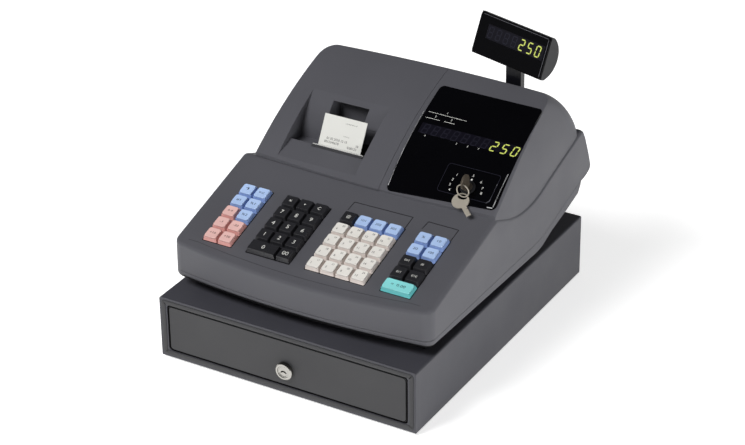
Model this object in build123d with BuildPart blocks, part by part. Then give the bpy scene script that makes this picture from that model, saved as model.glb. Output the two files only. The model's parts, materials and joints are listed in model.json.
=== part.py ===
from build123d import *
import os
from math import asin, atan2, cos, degrees, radians, sin, sqrt

os.makedirs("parts", exist_ok=True)

# Sizes in millimetres. The origin is at table level, in the middle of the overall width and depth.
# +X is to the cashier's right, +Y to the rear, +Z up.

# Drawer case
case_width = 360.0
case_depth = 435.0
case_height = 82.8
case_wall = 1.5
foot_height = 3.0
foot_radius = 9.0
rim_depth = 12.0
rim_side = 11.0
rim_top = 8.3
rim_bottom = 9.0
front_gap = 2.0
drawer_travel = 300.0
lock_proud = 5.0
lock_radius = 11.5
plug_radius = 8.0
plug_clearance = 0.08
runner_width = 11.5
tray_clearance = 1.5
tray_wall = 1.5
till_wall = 2.5
till_depth = 312.0
coin_depth = 104.0
compartments = 5

# Machine on top of the case
machine_depth = 455.0
cabinet_wall = 2.5
seam_gap = 0.4
deck_angle = 16.06
bow_radius = 1150.0
rear_bow_radius = 1900.0
corner_radius = 14.0
deck_edge_radius = 5.0
lip_edge_radius = 8.0
left_shoulder = 17.0
cover_right = 18.8
cover_split_y = 187.6
housing_corner = 20.0
housing_edge = 2.5
face_radius = 474.0
window_thickness = 2.2
window_gap = 0.3

# Keys
key_pitch_x = 20.75
key_pitch_y = 20.7
key_size = 19.3
key_height = 6.4
key_skirt = 4.0
key_travel = 3.0
key_gap = 0.7
stem_radius = 2.4
first_row = 18.9

# Printer
paper_width = 61.0
paper_thickness = 0.3
roll_radius = 30.0
platen_radius = 8.0

# Customer display
pole_width = 21.0
pole_depth = 10.0
pole_drop = 16.0
pole_clearance = 0.3
head_width = 118.0
head_height = 54.0
head_depth = 30.0
head_turn = -16.0
head_tilt = 21.6

half = case_width / 2
overall_depth = lock_proud + max(case_depth, machine_depth)
case_front = -overall_depth / 2 + lock_proud
case_back = case_front + case_depth
case_bottom = foot_height
case_top = foot_height + case_height
machine_y = case_front + 225.0
machine_z = case_top - 85.8


def at(y, z):
    """A point of the machine's side view, from its own datum on the case."""
    return (machine_y + y, machine_z + z)


def slab(x0, x1, y0, y1, z0, z1, mode=Mode.ADD):
    """A block between two opposite corners."""
    with Locations(((x0 + x1) / 2, (y0 + y1) / 2, (z0 + z1) / 2)):
        Box(x1 - x0, y1 - y0, z1 - z0, mode=mode)


def block(x0, x1, y0, y1, z0, z1):
    """The same block as a separate solid, to cut or keep with."""
    with BuildPart() as piece:
        slab(x0, x1, y0, y1, z0, z1)
    return piece.part


def rod(origin, direction, radius, length):
    """A round bar from a point along a direction."""
    with BuildPart() as piece:
        with BuildSketch(Plane(origin=origin, z_dir=direction)):
            Circle(radius)
        extrude(amount=length)
    return piece.part


def save(node, name):
    """Labels a finished piece and writes it."""
    node.part.label = name
    export_step(node.part, "parts/" + name + ".step")


def save_solid(solid, name):
    """The same for a piece that was made by joining solids."""
    solid.label = name
    export_step(solid, "parts/" + name + ".step")


# ---------------------------------------------------------------------------
# Drawer case: folded steel box, open at the front inside a rim
# ---------------------------------------------------------------------------
opening_half = half - rim_side
opening_low = case_bottom + rim_bottom
opening_high = case_top - rim_top

with BuildPart() as drawer_case:
    with BuildSketch(Plane.XZ.offset(-case_front)):
        with Locations((0, (case_bottom + case_top) / 2)):
            Rectangle(case_width, case_height)
    extrude(amount=-case_depth)
    fillet(drawer_case.edges().filter_by(Axis.Y).group_by(Axis.Z)[-1], radius=2.5)
    fillet(drawer_case.faces().sort_by(Axis.Y)[-1].edges().group_by(Axis.Z)[-1], radius=2.4)
    slab(-half + case_wall, half - case_wall, case_front + rim_depth, case_back - case_wall,
         case_bottom + case_wall, case_top - case_wall, mode=Mode.SUBTRACT)
    with BuildSketch(Plane.XZ.offset(-case_front)):
        with Locations((0, (opening_low + opening_high) / 2)):
            RectangleRounded(2 * opening_half, opening_high - opening_low, 5.0)
    extrude(amount=-rim_depth, mode=Mode.SUBTRACT)
    with BuildSketch(Plane.XZ.offset(-case_front)):
        with Locations((0, (case_bottom + case_top) / 2)):
            Rectangle(case_width - 11.0, case_height - 8.0)
            Rectangle(case_width - 12.6, case_height - 9.6, mode=Mode.SUBTRACT)
    extrude(amount=-0.8, mode=Mode.SUBTRACT)
save(drawer_case, "drawer_case")

foot_x = half - 28.0
with BuildPart() as rubber_feet:
    with BuildSketch(Plane.XY):
        with Locations((-foot_x, case_front + 30), (foot_x, case_front + 30),
                       (-foot_x, case_back - 30), (foot_x, case_back - 30)):
            Circle(foot_radius)
    extrude(amount=foot_height)
save(rubber_feet, "rubber_feet")

# Two steel channels on the case's inner sides, each with three rollers' worth of flange
runner_outer = half - case_wall
runner_low = case_bottom + 14.0
runner_high = case_bottom + 34.0
with BuildPart() as drawer_runners:
    for side in (-1, 1):
        x_near = side * runner_outer
        x_far = side * (runner_outer - runner_width)
        low_x = min(x_near, x_far)
        high_x = max(x_near, x_far)
        web = (high_x - 1.5, high_x) if side > 0 else (low_x, low_x + 1.5)
        slab(low_x, high_x, case_front + 20, case_back - 25, runner_low, runner_low + 1.5)
        slab(low_x, high_x, case_front + 20, case_back - 25, runner_high - 1.5, runner_high)
        slab(web[0], web[1], case_front + 20, case_back - 25, runner_low, runner_high)
save(drawer_runners, "drawer_runners")

# ---------------------------------------------------------------------------
# Sliding drawer: panel, steel tray, lock
# ---------------------------------------------------------------------------
panel_half = opening_half - front_gap
panel_low = opening_low + front_gap
panel_high = opening_high - front_gap
lock_z = (panel_low + panel_high) / 2 - 9.7
with BuildPart() as drawer_front:
    with BuildSketch(Plane.XZ.offset(-case_front)):
        with Locations((0, (panel_low + panel_high) / 2)):
            RectangleRounded(2 * panel_half, panel_high - panel_low, 3.5)
    extrude(amount=-rim_depth)
    fillet(drawer_front.faces().sort_by(Axis.Y)[0].edges(), radius=0.8)
    with BuildSketch(Plane.XZ.offset(-case_front)):
        with Locations((0, lock_z)):
            Circle(lock_radius - 2.0)
    extrude(amount=-rim_depth, mode=Mode.SUBTRACT)
save(drawer_front, "drawer_front")

tray_half = runner_outer - runner_width - tray_clearance
tray_front = case_front + rim_depth
tray_back = case_back - 25.0
tray_low = opening_low + 1.0
tray_high = panel_high - 3.0
with BuildPart() as drawer_tray:
    slab(-tray_half, tray_half, tray_front, tray_back, tray_low, tray_high)
    slab(-tray_half + tray_wall, tray_half - tray_wall, tray_front + tray_wall, tray_back - tray_wall,
         tray_low + tray_wall, tray_high + 1, mode=Mode.SUBTRACT)
    with BuildSketch(Plane.XZ.offset(-tray_front)):
        with Locations((0, lock_z)):
            Circle(lock_radius)
    extrude(amount=-tray_wall, mode=Mode.SUBTRACT)
    for side in (-1, 1):
        x_in = side * tray_half
        x_out = side * (tray_half + tray_clearance + runner_width - 3.0)
        slab(min(x_in, x_out), max(x_in, x_out), tray_front + drawer_travel + 3, tray_back - 5,
             runner_low + 6.0, runner_low + 14.0)
save(drawer_tray, "drawer_tray")

lock_centre = (0, case_front, lock_z)
with BuildPart() as lock_barrel:
    with BuildSketch(Plane(origin=(0, case_front - lock_proud, lock_z), x_dir=(1, 0, 0), z_dir=(0, -1, 0))):
        Circle(lock_radius)
    extrude(amount=-lock_proud)
    with BuildSketch(Plane(origin=lock_centre, x_dir=(1, 0, 0), z_dir=(0, -1, 0))):
        Circle(lock_radius - 2.0)
    extrude(amount=-rim_depth - 4.0)
    chamfer(lock_barrel.faces().sort_by(Axis.Y)[0].edges(), length=1.2)
    with BuildSketch(Plane(origin=(0, case_front - lock_proud, lock_z), x_dir=(1, 0, 0), z_dir=(0, -1, 0))):
        Circle(plug_radius + plug_clearance)
    extrude(amount=-lock_proud - rim_depth - 4.0, mode=Mode.SUBTRACT)
save(lock_barrel, "lock_barrel")

with BuildPart() as lock_plug:
    with BuildSketch(Plane(origin=(0, case_front - lock_proud + 0.6, lock_z), x_dir=(1, 0, 0), z_dir=(0, -1, 0))):
        Circle(plug_radius)
    extrude(amount=-lock_proud - rim_depth - 5.8)
    with BuildSketch(Plane(origin=(0, case_front - lock_proud + 0.6, lock_z), x_dir=(1, 0, 0), z_dir=(0, -1, 0))):
        SlotOverall(9.0, 2.2, rotation=90)
    extrude(amount=-8.0, mode=Mode.SUBTRACT)
    slab(-3.5, 3.5, case_front + rim_depth + 4.4, case_front + rim_depth + 6.4, lock_z - 3.5, lock_z + 18.0)
save(lock_plug, "lock_plug")

# ---------------------------------------------------------------------------
# Till insert: note compartments behind, a lift-out coin tray in front
# ---------------------------------------------------------------------------
till_half = tray_half - tray_wall - 1.0
till_front = tray_front + tray_wall + 8.0
till_back = till_front + till_depth
till_low = tray_low + tray_wall
till_high = tray_high - 2.0
note_front = till_front + coin_depth
bay_width = (2 * till_half - (compartments + 1) * till_wall) / compartments
clip_y = till_back - 14.0
clip_z = till_high - 7.0
clip_hole = 2.1
clip_length = 80.0
with BuildPart() as till_tray:
    slab(-till_half, till_half, till_front, till_back, till_low, till_high)
    fillet(till_tray.edges().filter_by(Axis.Z), radius=5.0)
    slab(-till_half + till_wall, till_half - till_wall, till_front + till_wall, note_front - till_wall,
         till_low + till_wall, till_high + 1, mode=Mode.SUBTRACT)
    for bay in range(compartments):
        bay_left = -till_half + till_wall + bay * (bay_width + till_wall)
        slab(bay_left, bay_left + bay_width, note_front, till_back - till_wall,
             till_low + till_wall, till_high + 1, mode=Mode.SUBTRACT)
    with BuildSketch(Plane.YZ.offset(-till_half + till_wall - 0.9)):
        with Locations((clip_y, clip_z)):
            Circle(clip_hole)
    extrude(amount=2 * till_half - 2 * till_wall + 1.8, mode=Mode.SUBTRACT)
save(till_tray, "till_tray")

coin_half = till_half - till_wall - 0.6
coin_front = till_front + till_wall + 0.6
coin_back = note_front - till_wall - 0.6
coin_low = till_low + till_wall
coin_high = till_high - 1.5
cup_width = (2 * coin_half - (compartments + 1) * 2.0) / compartments
with BuildPart() as coin_tray:
    slab(-coin_half, coin_half, coin_front, coin_back, coin_low, coin_high)
    for cup in range(compartments):
        cup_left = -coin_half + 2.0 + cup * (cup_width + 2.0)
        with BuildSketch(Plane.YZ.offset(cup_left)):
            with BuildLine():
                Polyline((coin_back - 2, coin_low + 22), (coin_back - 2, coin_high + 1),
                         (coin_front + 2, coin_high + 1), (coin_front + 2, coin_low + 22))
                ThreePointArc((coin_front + 2, coin_low + 22), ((coin_front + coin_back) / 2, coin_low + 2),
                              (coin_back - 2, coin_low + 22))
            make_face()
        extrude(amount=cup_width, mode=Mode.SUBTRACT)
save(coin_tray, "coin_tray")

clip_half = 13.0
clip_tip = clip_y - clip_length
clip_bend = clip_tip + 13.0
for bay in range(compartments):
    bay_centre = -till_half + till_wall + bay * (bay_width + till_wall) + bay_width / 2
    with BuildPart() as bill_clip:
        with BuildSketch(Plane.YZ.offset(bay_centre - clip_half)):
            with BuildLine():
                Polyline((clip_y, clip_z + 3.2), (clip_y - 12, clip_z + 1.5), (clip_bend, till_low + 5.5),
                         (clip_tip, till_low + 6.5), (clip_tip, till_low + 5.0),
                         (clip_bend, till_low + 3.6), (clip_y - 12, clip_z - 1.0),
                         (clip_y, clip_z - 3.2), (clip_y, clip_z + 3.2))
            make_face()
        extrude(amount=2 * clip_half)
        slab(bay_centre - clip_half + 5, bay_centre + clip_half - 5, clip_bend + 4, clip_y - 8,
             till_low, till_high, mode=Mode.SUBTRACT)
        with BuildSketch(Plane.YZ.offset(bay_centre - bay_width / 2 + 0.4)):
            with Locations((clip_y, clip_z)):
                Circle(3.2)
        extrude(amount=bay_width - 0.8)
        with BuildSketch(Plane.YZ.offset(bay_centre - bay_width / 2 - 0.6)):
            with Locations((clip_y, clip_z)):
                Circle(clip_hole - 0.1)
        extrude(amount=bay_width + 1.2)
    save(bill_clip, "bill_clip_" + str(bay + 1))

# Solenoid latch and push-off spring on the case's rear wall
with BuildPart() as drawer_latch:
    slab(-22, 22, case_back - case_wall - 18, case_back - case_wall, case_bottom + 22, case_bottom + 52)
    slab(-5, 5, case_back - case_wall - 21, case_back - case_wall - 18, case_bottom + 40, case_bottom + 48)
    slab(-14, 14, case_back - case_wall - 18, case_back - case_wall - 3, case_bottom + 26, case_bottom + 36,
         mode=Mode.SUBTRACT)
save(drawer_latch, "drawer_latch")

with BuildPart() as eject_spring:
    with BuildSketch(Plane.XY.offset(case_bottom + 30)):
        with BuildLine():
            Polyline((48, case_back - case_wall), (52, case_back - case_wall), (60, case_back - case_wall - 1.2))
            ThreePointArc((60, case_back - case_wall - 1.2), (85, case_back - 24.0), (112, case_back - case_wall - 1.2))
            Polyline((112, case_back - case_wall - 1.2), (120, case_back - case_wall), (124, case_back - case_wall),
                     (124, case_back - case_wall - 1.2), (118, case_back - case_wall - 1.2))
            ThreePointArc((118, case_back - case_wall - 1.2), (85, case_back - 24.8), (54, case_back - case_wall - 1.2))
            Polyline((54, case_back - case_wall - 1.2), (48, case_back - case_wall - 1.2), (48, case_back - case_wall))
        make_face()
    extrude(amount=14)
save(eject_spring, "eject_spring")

# ---------------------------------------------------------------------------
# Cabinet form: bowed front lip, sloping key deck, dished side line, rising rear
# ---------------------------------------------------------------------------
deck_slope = radians(deck_angle)
front_y, front_z = at(-205.5, 148.73)
bow_centre = front_y + bow_radius
lip_back = at(-165, 0)[0]


def deck_z(y):
    """Height of the key deck at a depth."""
    datum_y, datum_z = at(-185.5, 148.73)
    return datum_z + (y - datum_y) * sin(deck_slope) / cos(deck_slope)


lower_line = (at(-235, 99.1), at(70, 90.5), at(97.2, 97.5), at(123.3, 107), at(165.6, 116.9), at(188.2, 123.5),
              at(196, 125.7), at(202.1, 134.4), at(203.6, 139.6), at(213.7, 140.6), at(221.2, 142.9),
              at(227.5, 145.8), at(230, 150.5))
rear_line = (at(230, 150.5), at(222.8, 171), at(216.9, 185.1), at(210.8, 199.2), at(202.7, 212))
wing_rear = at(202.7, 212)
wing_dish = (at(106.6, 182.5), at(53.1, 171.4), at(0, 182.7))
wing_front = (at(-27.5, 0)[0], deck_z(at(-27.5, 0)[0]))


def cabinet_slab(inset):
    """The lower body's side profile across its whole width, pulled in by the wall when it is the inside."""
    front_end = lower_line[0][0]
    with BuildPart() as form:
        with BuildSketch(Plane.YZ.offset(-half + inset)) as profile:
            with BuildLine():
                Polyline((front_end, deck_z(front_end)), *lower_line)
                Polyline(*rear_line)
                Line(wing_rear, wing_dish[0])
                ThreePointArc(*wing_dish)
                Polyline(wing_dish[2], wing_front, (front_end, deck_z(front_end)))
            make_face()
            for bend, radius in ((wing_front, 10.0), (wing_dish[2], 40.0), (wing_dish[0], 60.0)):
                turned = [v for v in profile.vertices() if abs(v.X - bend[0]) + abs(v.Y - bend[1]) < 0.1]
                fillet(turned, radius=radius)
            if inset:
                offset(amount=-inset, kind=Kind.INTERSECTION, mode=Mode.REPLACE)
        extrude(amount=2 * (half - inset))
    return form.part


def lip_cutter(inset):
    """Everything in front of the bowed lip."""
    turn = degrees(asin((half + 20) / bow_radius))
    phi = radians(-turn)
    out = (sin(phi), -cos(phi), 0)
    plane = Plane(origin=(0, bow_centre, 0), x_dir=out, z_dir=(-cos(phi), -sin(phi), 0))
    reach = bow_radius - inset
    low, high = machine_z + 80, machine_z + 165
    with BuildPart() as cutter:
        with BuildSketch(plane):
            with BuildLine():
                Polyline((reach - 0.2, low), (reach - 2.0, high), (reach + 60, high), (reach + 60, low),
                         (reach - 0.2, low))
            make_face()
        revolve(axis=Axis((0, bow_centre, 0), (0, 0, 1)), revolution_arc=2 * turn)
    return cutter.part


def cabinet_form(inset):
    """The whole lower body: bowed lip, rounded front corners, deck edges and lower front edge."""
    body = cabinet_slab(inset) - lip_cutter(inset)
    side = half - inset
    corners = [edge for edge in body.edges()
               if abs(edge.center().X) > side - 1 and edge.center().Y < lip_back
               and edge.bounding_box().size.Z > 20]
    body = body.fillet(corner_radius - inset, corners)
    if not inset:
        rim = [edge for edge in body.edges()
               if edge.center().Z > deck_z(edge.center().Y) - 1 and edge.center().Y < wing_front[0] - 30]
        body = body.fillet(deck_edge_radius, rim)
    underside = [edge for edge in body.edges()
                 if edge.center().Z < lower_line[0][1] + inset + 3 and edge.center().Y < lip_back]
    return body.fillet(lip_edge_radius - inset, underside)


def seam_side(upper):
    """The space above or below the joint between the two cabinet halves."""
    shift = seam_gap / 2 if upper else -seam_gap / 2
    far = 400 if upper else -100
    line = [(y, z + shift) for y, z in (at(-260, 108.8), at(80, 108.8), at(97, 110), at(201.8, 139.8),
                                        at(227.5, 146), at(260, 154))]
    with BuildPart() as space:
        with BuildSketch(Plane.YZ.offset(-half - 20)):
            Polygon(*line, (line[-1][0], far), (line[0][0], far), align=None)
        extrude(amount=2 * half + 40)
    return space.part


face_foot = at(-32.5, 196.26)
face_crest = at(138.5, 283.37)
face_rise = face_crest[1] - face_foot[1]
face_run = face_crest[0] - face_foot[0]
face_chord = sqrt(face_run ** 2 + face_rise ** 2)
face_drop = sqrt(face_radius ** 2 - (face_chord / 2) ** 2)
face_centre_y = (face_foot[0] + face_crest[0]) / 2 + face_drop * face_rise / face_chord
face_centre_z = (face_foot[1] + face_crest[1]) / 2 - face_drop * face_run / face_chord


def face_z(y):
    """Height of the sloping face at a depth."""
    return face_centre_z + sqrt(face_radius ** 2 - (y - face_centre_y) ** 2)


def face_slope(y):
    """Slope angle of the face at a depth, in radians."""
    return atan2(face_centre_y - y, face_z(y) - face_centre_z)


def face_plane(x, y):
    """The plane that touches the face at a point, its own Y running up the slope."""
    slope = face_slope(y)
    return Plane(origin=(x, y, face_z(y)), x_dir=(1, 0, 0), z_dir=(0, -sin(slope), cos(slope)))


housing_bow_centre = at(138.5, 0)[0] - rear_bow_radius


def housing_form(inset):
    """The raised printer and display housing as one solid."""
    reach = face_radius - inset
    foot_y = at(-60, 0)[0]
    crest_y = at(160, 0)[0]
    low_z = at(0, 166)[1]
    side_shift = inset
    with BuildPart() as form:
        with BuildSketch(Plane.YZ.offset(-half)):
            with BuildLine():
                mid_y = (foot_y + crest_y) / 2
                ends = [(y, face_centre_z + sqrt(reach ** 2 - (y - face_centre_y) ** 2))
                        for y in (foot_y, mid_y, crest_y)]
                ThreePointArc(*ends)
                Polyline(ends[2], (at(240, 0)[0], ends[2][1]), (at(240, 0)[0], low_z), (foot_y, low_z), ends[0])
            make_face()
        extrude(amount=case_width)
        left = -half + left_shoulder + side_shift
        right = half - 1.8 - side_shift
        z0 = at(0, 140)[1]
        with BuildSketch(Plane.XZ.offset(-at(300, 0)[0])):
            with BuildLine():
                Polyline((left + 7.5, z0 + 170), (left, z0 + 50), (left, z0), (right, z0), (right, z0 + 55))
                ThreePointArc((right, z0 + 55), (right - 3, z0 + 100), (right - 12, z0 + 140))
                Polyline((right - 12, z0 + 140), (right - 22, z0 + 170), (left + 7.5, z0 + 170))
            make_face()
        extrude(amount=600, mode=Mode.INTERSECT)
        # Bowed rear
        turn = degrees(asin((half + 30) / rear_bow_radius))
        phi = radians(180 - turn)
        out = (sin(phi), -cos(phi), 0)
        rear = rear_bow_radius - inset
        middle = housing_bow_centre
        with BuildSketch(Plane(origin=(20, middle, 0), x_dir=out, z_dir=(-cos(phi), -sin(phi), 0))):
            with BuildLine():
                crest = at(0, 292)[1]
                ThreePointArc((rear - 8, crest), (rear + 32, at(0, 268)[1]), (rear + 74.5, at(0, 208)[1]))
                Polyline((rear + 74.5, at(0, 208)[1]), (rear + 74.5, at(0, 150)[1]), (rear + 150, at(0, 150)[1]),
                         (rear + 150, crest), (rear - 8, crest))
            make_face()
        revolve(axis=Axis((20, middle, 0), (0, 0, 1)), revolution_arc=2 * turn, mode=Mode.SUBTRACT)
        # Slightly bowed foot, standing on the deck
        foot_bow = 3200.0
        with BuildSketch(Plane.XY) as foot:
            with Locations((20, at(-32.5, 0)[0] + foot_bow + inset)):
                Circle(foot_bow)
        extrude(amount=400, mode=Mode.INTERSECT)
    housing = form.part
    rear_corners = [edge for edge in housing.edges()
                    if abs(edge.center().X) > 140 and edge.center().Y > at(135, 0)[0]
                    and edge.bounding_box().size.Z > 15]
    housing = housing.fillet(housing_corner - inset, rear_corners)
    if inset:
        return housing
    brow = [edge for edge in housing.edges()
            if edge.center().Z > at(0, 200)[1] and edge.center().Y < at(150, 0)[0]]
    return housing.fillet(housing_edge, brow)


outer_body = cabinet_form(0)
inner_body = cabinet_form(cabinet_wall)
outer_housing = housing_form(0)
inner_housing = housing_form(cabinet_wall + 0.5)

# ---------------------------------------------------------------------------
# Key layout on the deck plane: columns across, rows up the slope
# ---------------------------------------------------------------------------
deck = Plane(origin=(0, at(-185.5, 0)[0], deck_z(at(-185.5, 0)[0])), x_dir=(1, 0, 0),
             z_dir=(0, -sin(deck_slope), cos(deck_slope)))


def key_x(column):
    """Centre of a key column."""
    return (column - 6.5) * key_pitch_x


def key_s(row):
    """Centre of a key row, up the slope from the deck's datum."""
    return first_row + row * key_pitch_y


well_columns = ((0, 1), (3, 5), (7, 10), (12, 13))


def well_edges(well, margin):
    """Left, right, front and rear of one key well."""
    reach = key_size / 2 + margin
    return (key_x(well[0]) - reach, key_x(well[1]) + reach, key_s(0) - reach, key_s(4) + reach)


def deck_box(edges, low, high, mode=Mode.ADD):
    """A block that stands on the deck plane."""
    x0, x1, s0, s1 = edges
    with Locations(deck):
        with Locations(((x0 + x1) / 2, (s0 + s1) / 2, (low + high) / 2)):
            Box(x1 - x0, s1 - s0, high - low, mode=mode)


# ---------------------------------------------------------------------------
# Lower cabinet: shallow tub with a plinth on the drawer case
# ---------------------------------------------------------------------------
plinth_half = half - 18.0
board_low = at(0, 121)[1]
mains_low = at(0, 128)[1]
lower_shell = outer_body & seam_side(False)
lower_hollow = inner_body
with BuildPart() as plinth:
    slab(-plinth_half, plinth_half, at(-172, 0)[0], at(78, 0)[0], case_top, at(0, 106)[1])
    slab(-plinth_half + 3, plinth_half - 3, at(-169, 0)[0], at(75, 0)[0], case_top + 3, at(0, 120)[1],
         mode=Mode.SUBTRACT)
with BuildPart() as lower_cabinet:
    add(lower_shell)
    add(lower_hollow, mode=Mode.SUBTRACT)
    add(plinth.part)
    add(inner_body & block(-plinth_half + 3, plinth_half - 3, at(-169, 0)[0], at(75, 0)[0], case_top + 3,
                           at(0, 120)[1]), mode=Mode.SUBTRACT)
    with Locations((-110, at(-130, 0)[0], (case_top + 2 + board_low) / 2), (110, at(-130, 0)[0], (case_top + 2 + board_low) / 2),
                   (-110, at(-40, 0)[0], (case_top + 2 + board_low) / 2), (110, at(-40, 0)[0], (case_top + 2 + board_low) / 2)):
        Cylinder(4.0, board_low - case_top - 2)
    add(block(62, 138, at(100, 0)[0], at(168, 0)[0], at(0, 90)[1], mains_low) & outer_body)
save(lower_cabinet, "lower_cabinet")

# ---------------------------------------------------------------------------
# Upper cabinet: key deck, display housing, printer bay and the fixed rear strip
# ---------------------------------------------------------------------------
display_left = cover_right + seam_gap
rear_strip_y = at(cover_split_y, 0)[0] + seam_gap
bay_left = -half + left_shoulder + 14.0
bay_right = display_left - 4.0
bay_front = at(-12, 0)[0]
bay_back = at(166, 0)[0]
bay_low = at(0, 158)[1]
right_housing = outer_housing & block(display_left, half + 5, at(-80, 0)[0], at(250, 0)[0], 0, 400)
right_hollow = inner_housing & block(display_left + 3, half + 5, at(-80, 0)[0], at(250, 0)[0], 0, 400)
left_rear = outer_housing & block(-half - 5, display_left + 1, rear_strip_y, at(250, 0)[0], 0, 400)
left_rear_hollow = inner_housing & block(-half - 5, display_left + 6, rear_strip_y + 3, at(250, 0)[0], 0, at(0, 230)[1])
window_corners = ((25.8, at(114.4, 0)[0]), (167.9, at(114.2, 0)[0]), (175.1, at(-23.5, 0)[0]), (28.6, at(-31.6, 0)[0]))


def window_prism(margin, corner):
    """Upright prism over the display window's outline."""
    with BuildPart() as prism:
        with BuildSketch(Plane.XY) as outline:
            with BuildLine():
                Polyline(*window_corners, window_corners[0])
            make_face()
            fillet(outline.vertices(), radius=6.0)
            if margin:
                offset(amount=margin, kind=Kind.ARC, mode=Mode.REPLACE)
        extrude(amount=400)
    return prism.part


def face_sheet(outer, inner):
    """A curved sheet that follows the face between two distances from it."""
    foot_y = at(-60, 0)[0]
    crest_y = at(150, 0)[0]
    with BuildPart() as sheet:
        with BuildSketch(Plane.YZ):
            with BuildLine():
                high = [(y, face_centre_z + sqrt((face_radius + outer) ** 2 - (y - face_centre_y) ** 2))
                        for y in (foot_y, (foot_y + crest_y) / 2, crest_y)]
                low = [(y, face_centre_z + sqrt((face_radius + inner) ** 2 - (y - face_centre_y) ** 2))
                       for y in (crest_y, (foot_y + crest_y) / 2, foot_y)]
                ThreePointArc(*high)
                Line(high[2], low[0])
                ThreePointArc(*low)
                Line(low[2], high[0])
            make_face()
        extrude(amount=half + 10)
    return sheet.part


switch_x = 129.6
switch_y = at(-7.3, 0)[0]
switch_plane = face_plane(switch_x, switch_y)
switch_radius = 9.4
post_x = 102.9
post_y = at(164.5, 0)[0]

tub_outer = block(bay_left - 2.5, bay_right + 2.5, bay_front - 2.5, bay_back + 2.5, bay_low - 2.5, at(0, 220)[1])
tub_inner = block(bay_left, bay_right, bay_front, bay_back, bay_low, at(0, 240)[1])
sleeve = block(post_x - pole_width / 2 - 4, post_x + pole_width / 2 + 4, post_y - pole_depth / 2 - 4,
               post_y + pole_depth / 2 + 4, at(0, 232)[1], at(0, 300)[1]) & outer_housing
post_hole = block(post_x - pole_width / 2 - pole_clearance, post_x + pole_width / 2 + pole_clearance,
                  post_y - pole_depth / 2 - pole_clearance, post_y + pole_depth / 2 + pole_clearance,
                  at(0, 225)[1], at(0, 300)[1])
gland_origin = (100.0, at(216.2, 0)[0], at(0, 186.5)[1])
gland_axis = Vector(0, 0.918, 0.397)

cabinet_shell = (outer_body & seam_side(True)) + right_housing + left_rear
cabinet_hollow = inner_body + right_hollow + left_rear_hollow
cabinet_hollow = cabinet_hollow - tub_outer - sleeve
cabinet_shell = cabinet_shell - cabinet_hollow - tub_inner - post_hole
cabinet_shell = cabinet_shell - (face_sheet(4.0, 0.5 - window_thickness) & window_prism(window_gap, 0))
cabinet_shell = cabinet_shell - (face_sheet(-1.0, -12.0) & window_prism(-5.0, 0))
for well in well_columns:
    with BuildPart() as well_cut:
        deck_box(well_edges(well, key_gap), -8.0, 4.0)
    cabinet_shell = cabinet_shell - well_cut.part
cabinet_shell = cabinet_shell - rod(Vector(*gland_origin) - gland_axis * 8, gland_axis, 7.0, 16)
save_solid(cabinet_shell, "upper_cabinet")

gland = rod(Vector(*gland_origin) - gland_axis * 6, gland_axis, 6.9, 14)
gland = gland + rod(Vector(*gland_origin) + gland_axis * 0.3, gland_axis, 10.0, 2.5)
gland = gland - rod(Vector(*gland_origin) - gland_axis * 8, gland_axis, 3.4, 20)
save_solid(gland, "cable_gland")

# ---------------------------------------------------------------------------
# Printer cover: hinged at the rear, with the receipt recess sunk into its face
# ---------------------------------------------------------------------------
cover_left_limit = -half - 5
split_y = at(cover_split_y, 0)[0]
recess_left = -131.0
recess_right = -18.6
recess_wall = 2.0
tear_y, tear_z = at(4.6, 212.6)
slot_left = -97.0
slot_right = -24.5


def recess_form(grow):
    """The recess as a solid: sloping apron, trench behind the tear bar, hollow rear wall."""
    with BuildPart() as form:
        with BuildSketch(Plane.YZ.offset(recess_left - grow)):
            with BuildLine():
                Polyline(at(-25.5, 201.7), (tear_y, tear_z), (tear_y, tear_z - 8.6), at(30, 204))
                ThreePointArc(at(30, 204), at(43, 236), at(79, 263.4))
                Polyline(at(79, 263.4), at(79, 300), at(-25.5, 300), at(-25.5, 201.7))
            make_face()
            if grow:
                offset(amount=grow, kind=Kind.INTERSECTION, mode=Mode.REPLACE)
        extrude(amount=recess_right - recess_left + 2 * grow)
    return form.part


cover_box = block(cover_left_limit, cover_right, at(-80, 0)[0], split_y, 0, 400)
cover_hollow = inner_housing & block(cover_left_limit, cover_right - 2.5, at(-80, 0)[0], at(250, 0)[0], 0, 400)
cover_outer = outer_housing & cover_box
cover = cover_outer - cover_hollow
cover = cover + (recess_form(recess_wall) & cover_outer)
cover = cover + block(slot_left - 2, slot_left + 54, at(40, 0)[0], at(74, 0)[0], at(0, 216)[1], at(0, 252.5)[1])
cover = cover - recess_form(0)
cover = cover - Pos(0, 0, 0.4) * outer_body
cover = cover - block(slot_left, slot_right, tear_y, at(52, 0)[0], at(0, 190)[1], at(0, 231)[1])
cover = cover - block(slot_left, slot_left + 52, at(20, 0)[0], at(72, 0)[0], at(0, 214)[1], at(0, 250.5)[1])
save_solid(cover, "printer_cover")

with BuildPart() as cutter_blade:
    with BuildSketch(Plane.YZ.offset(slot_left - 0.5)):
        Polygon((tear_y - 4.1, tear_z - 1.48), (tear_y - 4.1, tear_z - 0.7), (tear_y + 0.6, tear_z + 1.1),
                (tear_y + 0.6, tear_z + 0.22), align=None)
    extrude(amount=slot_right - slot_left + 1)
save(cutter_blade, "cutter_blade")

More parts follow.
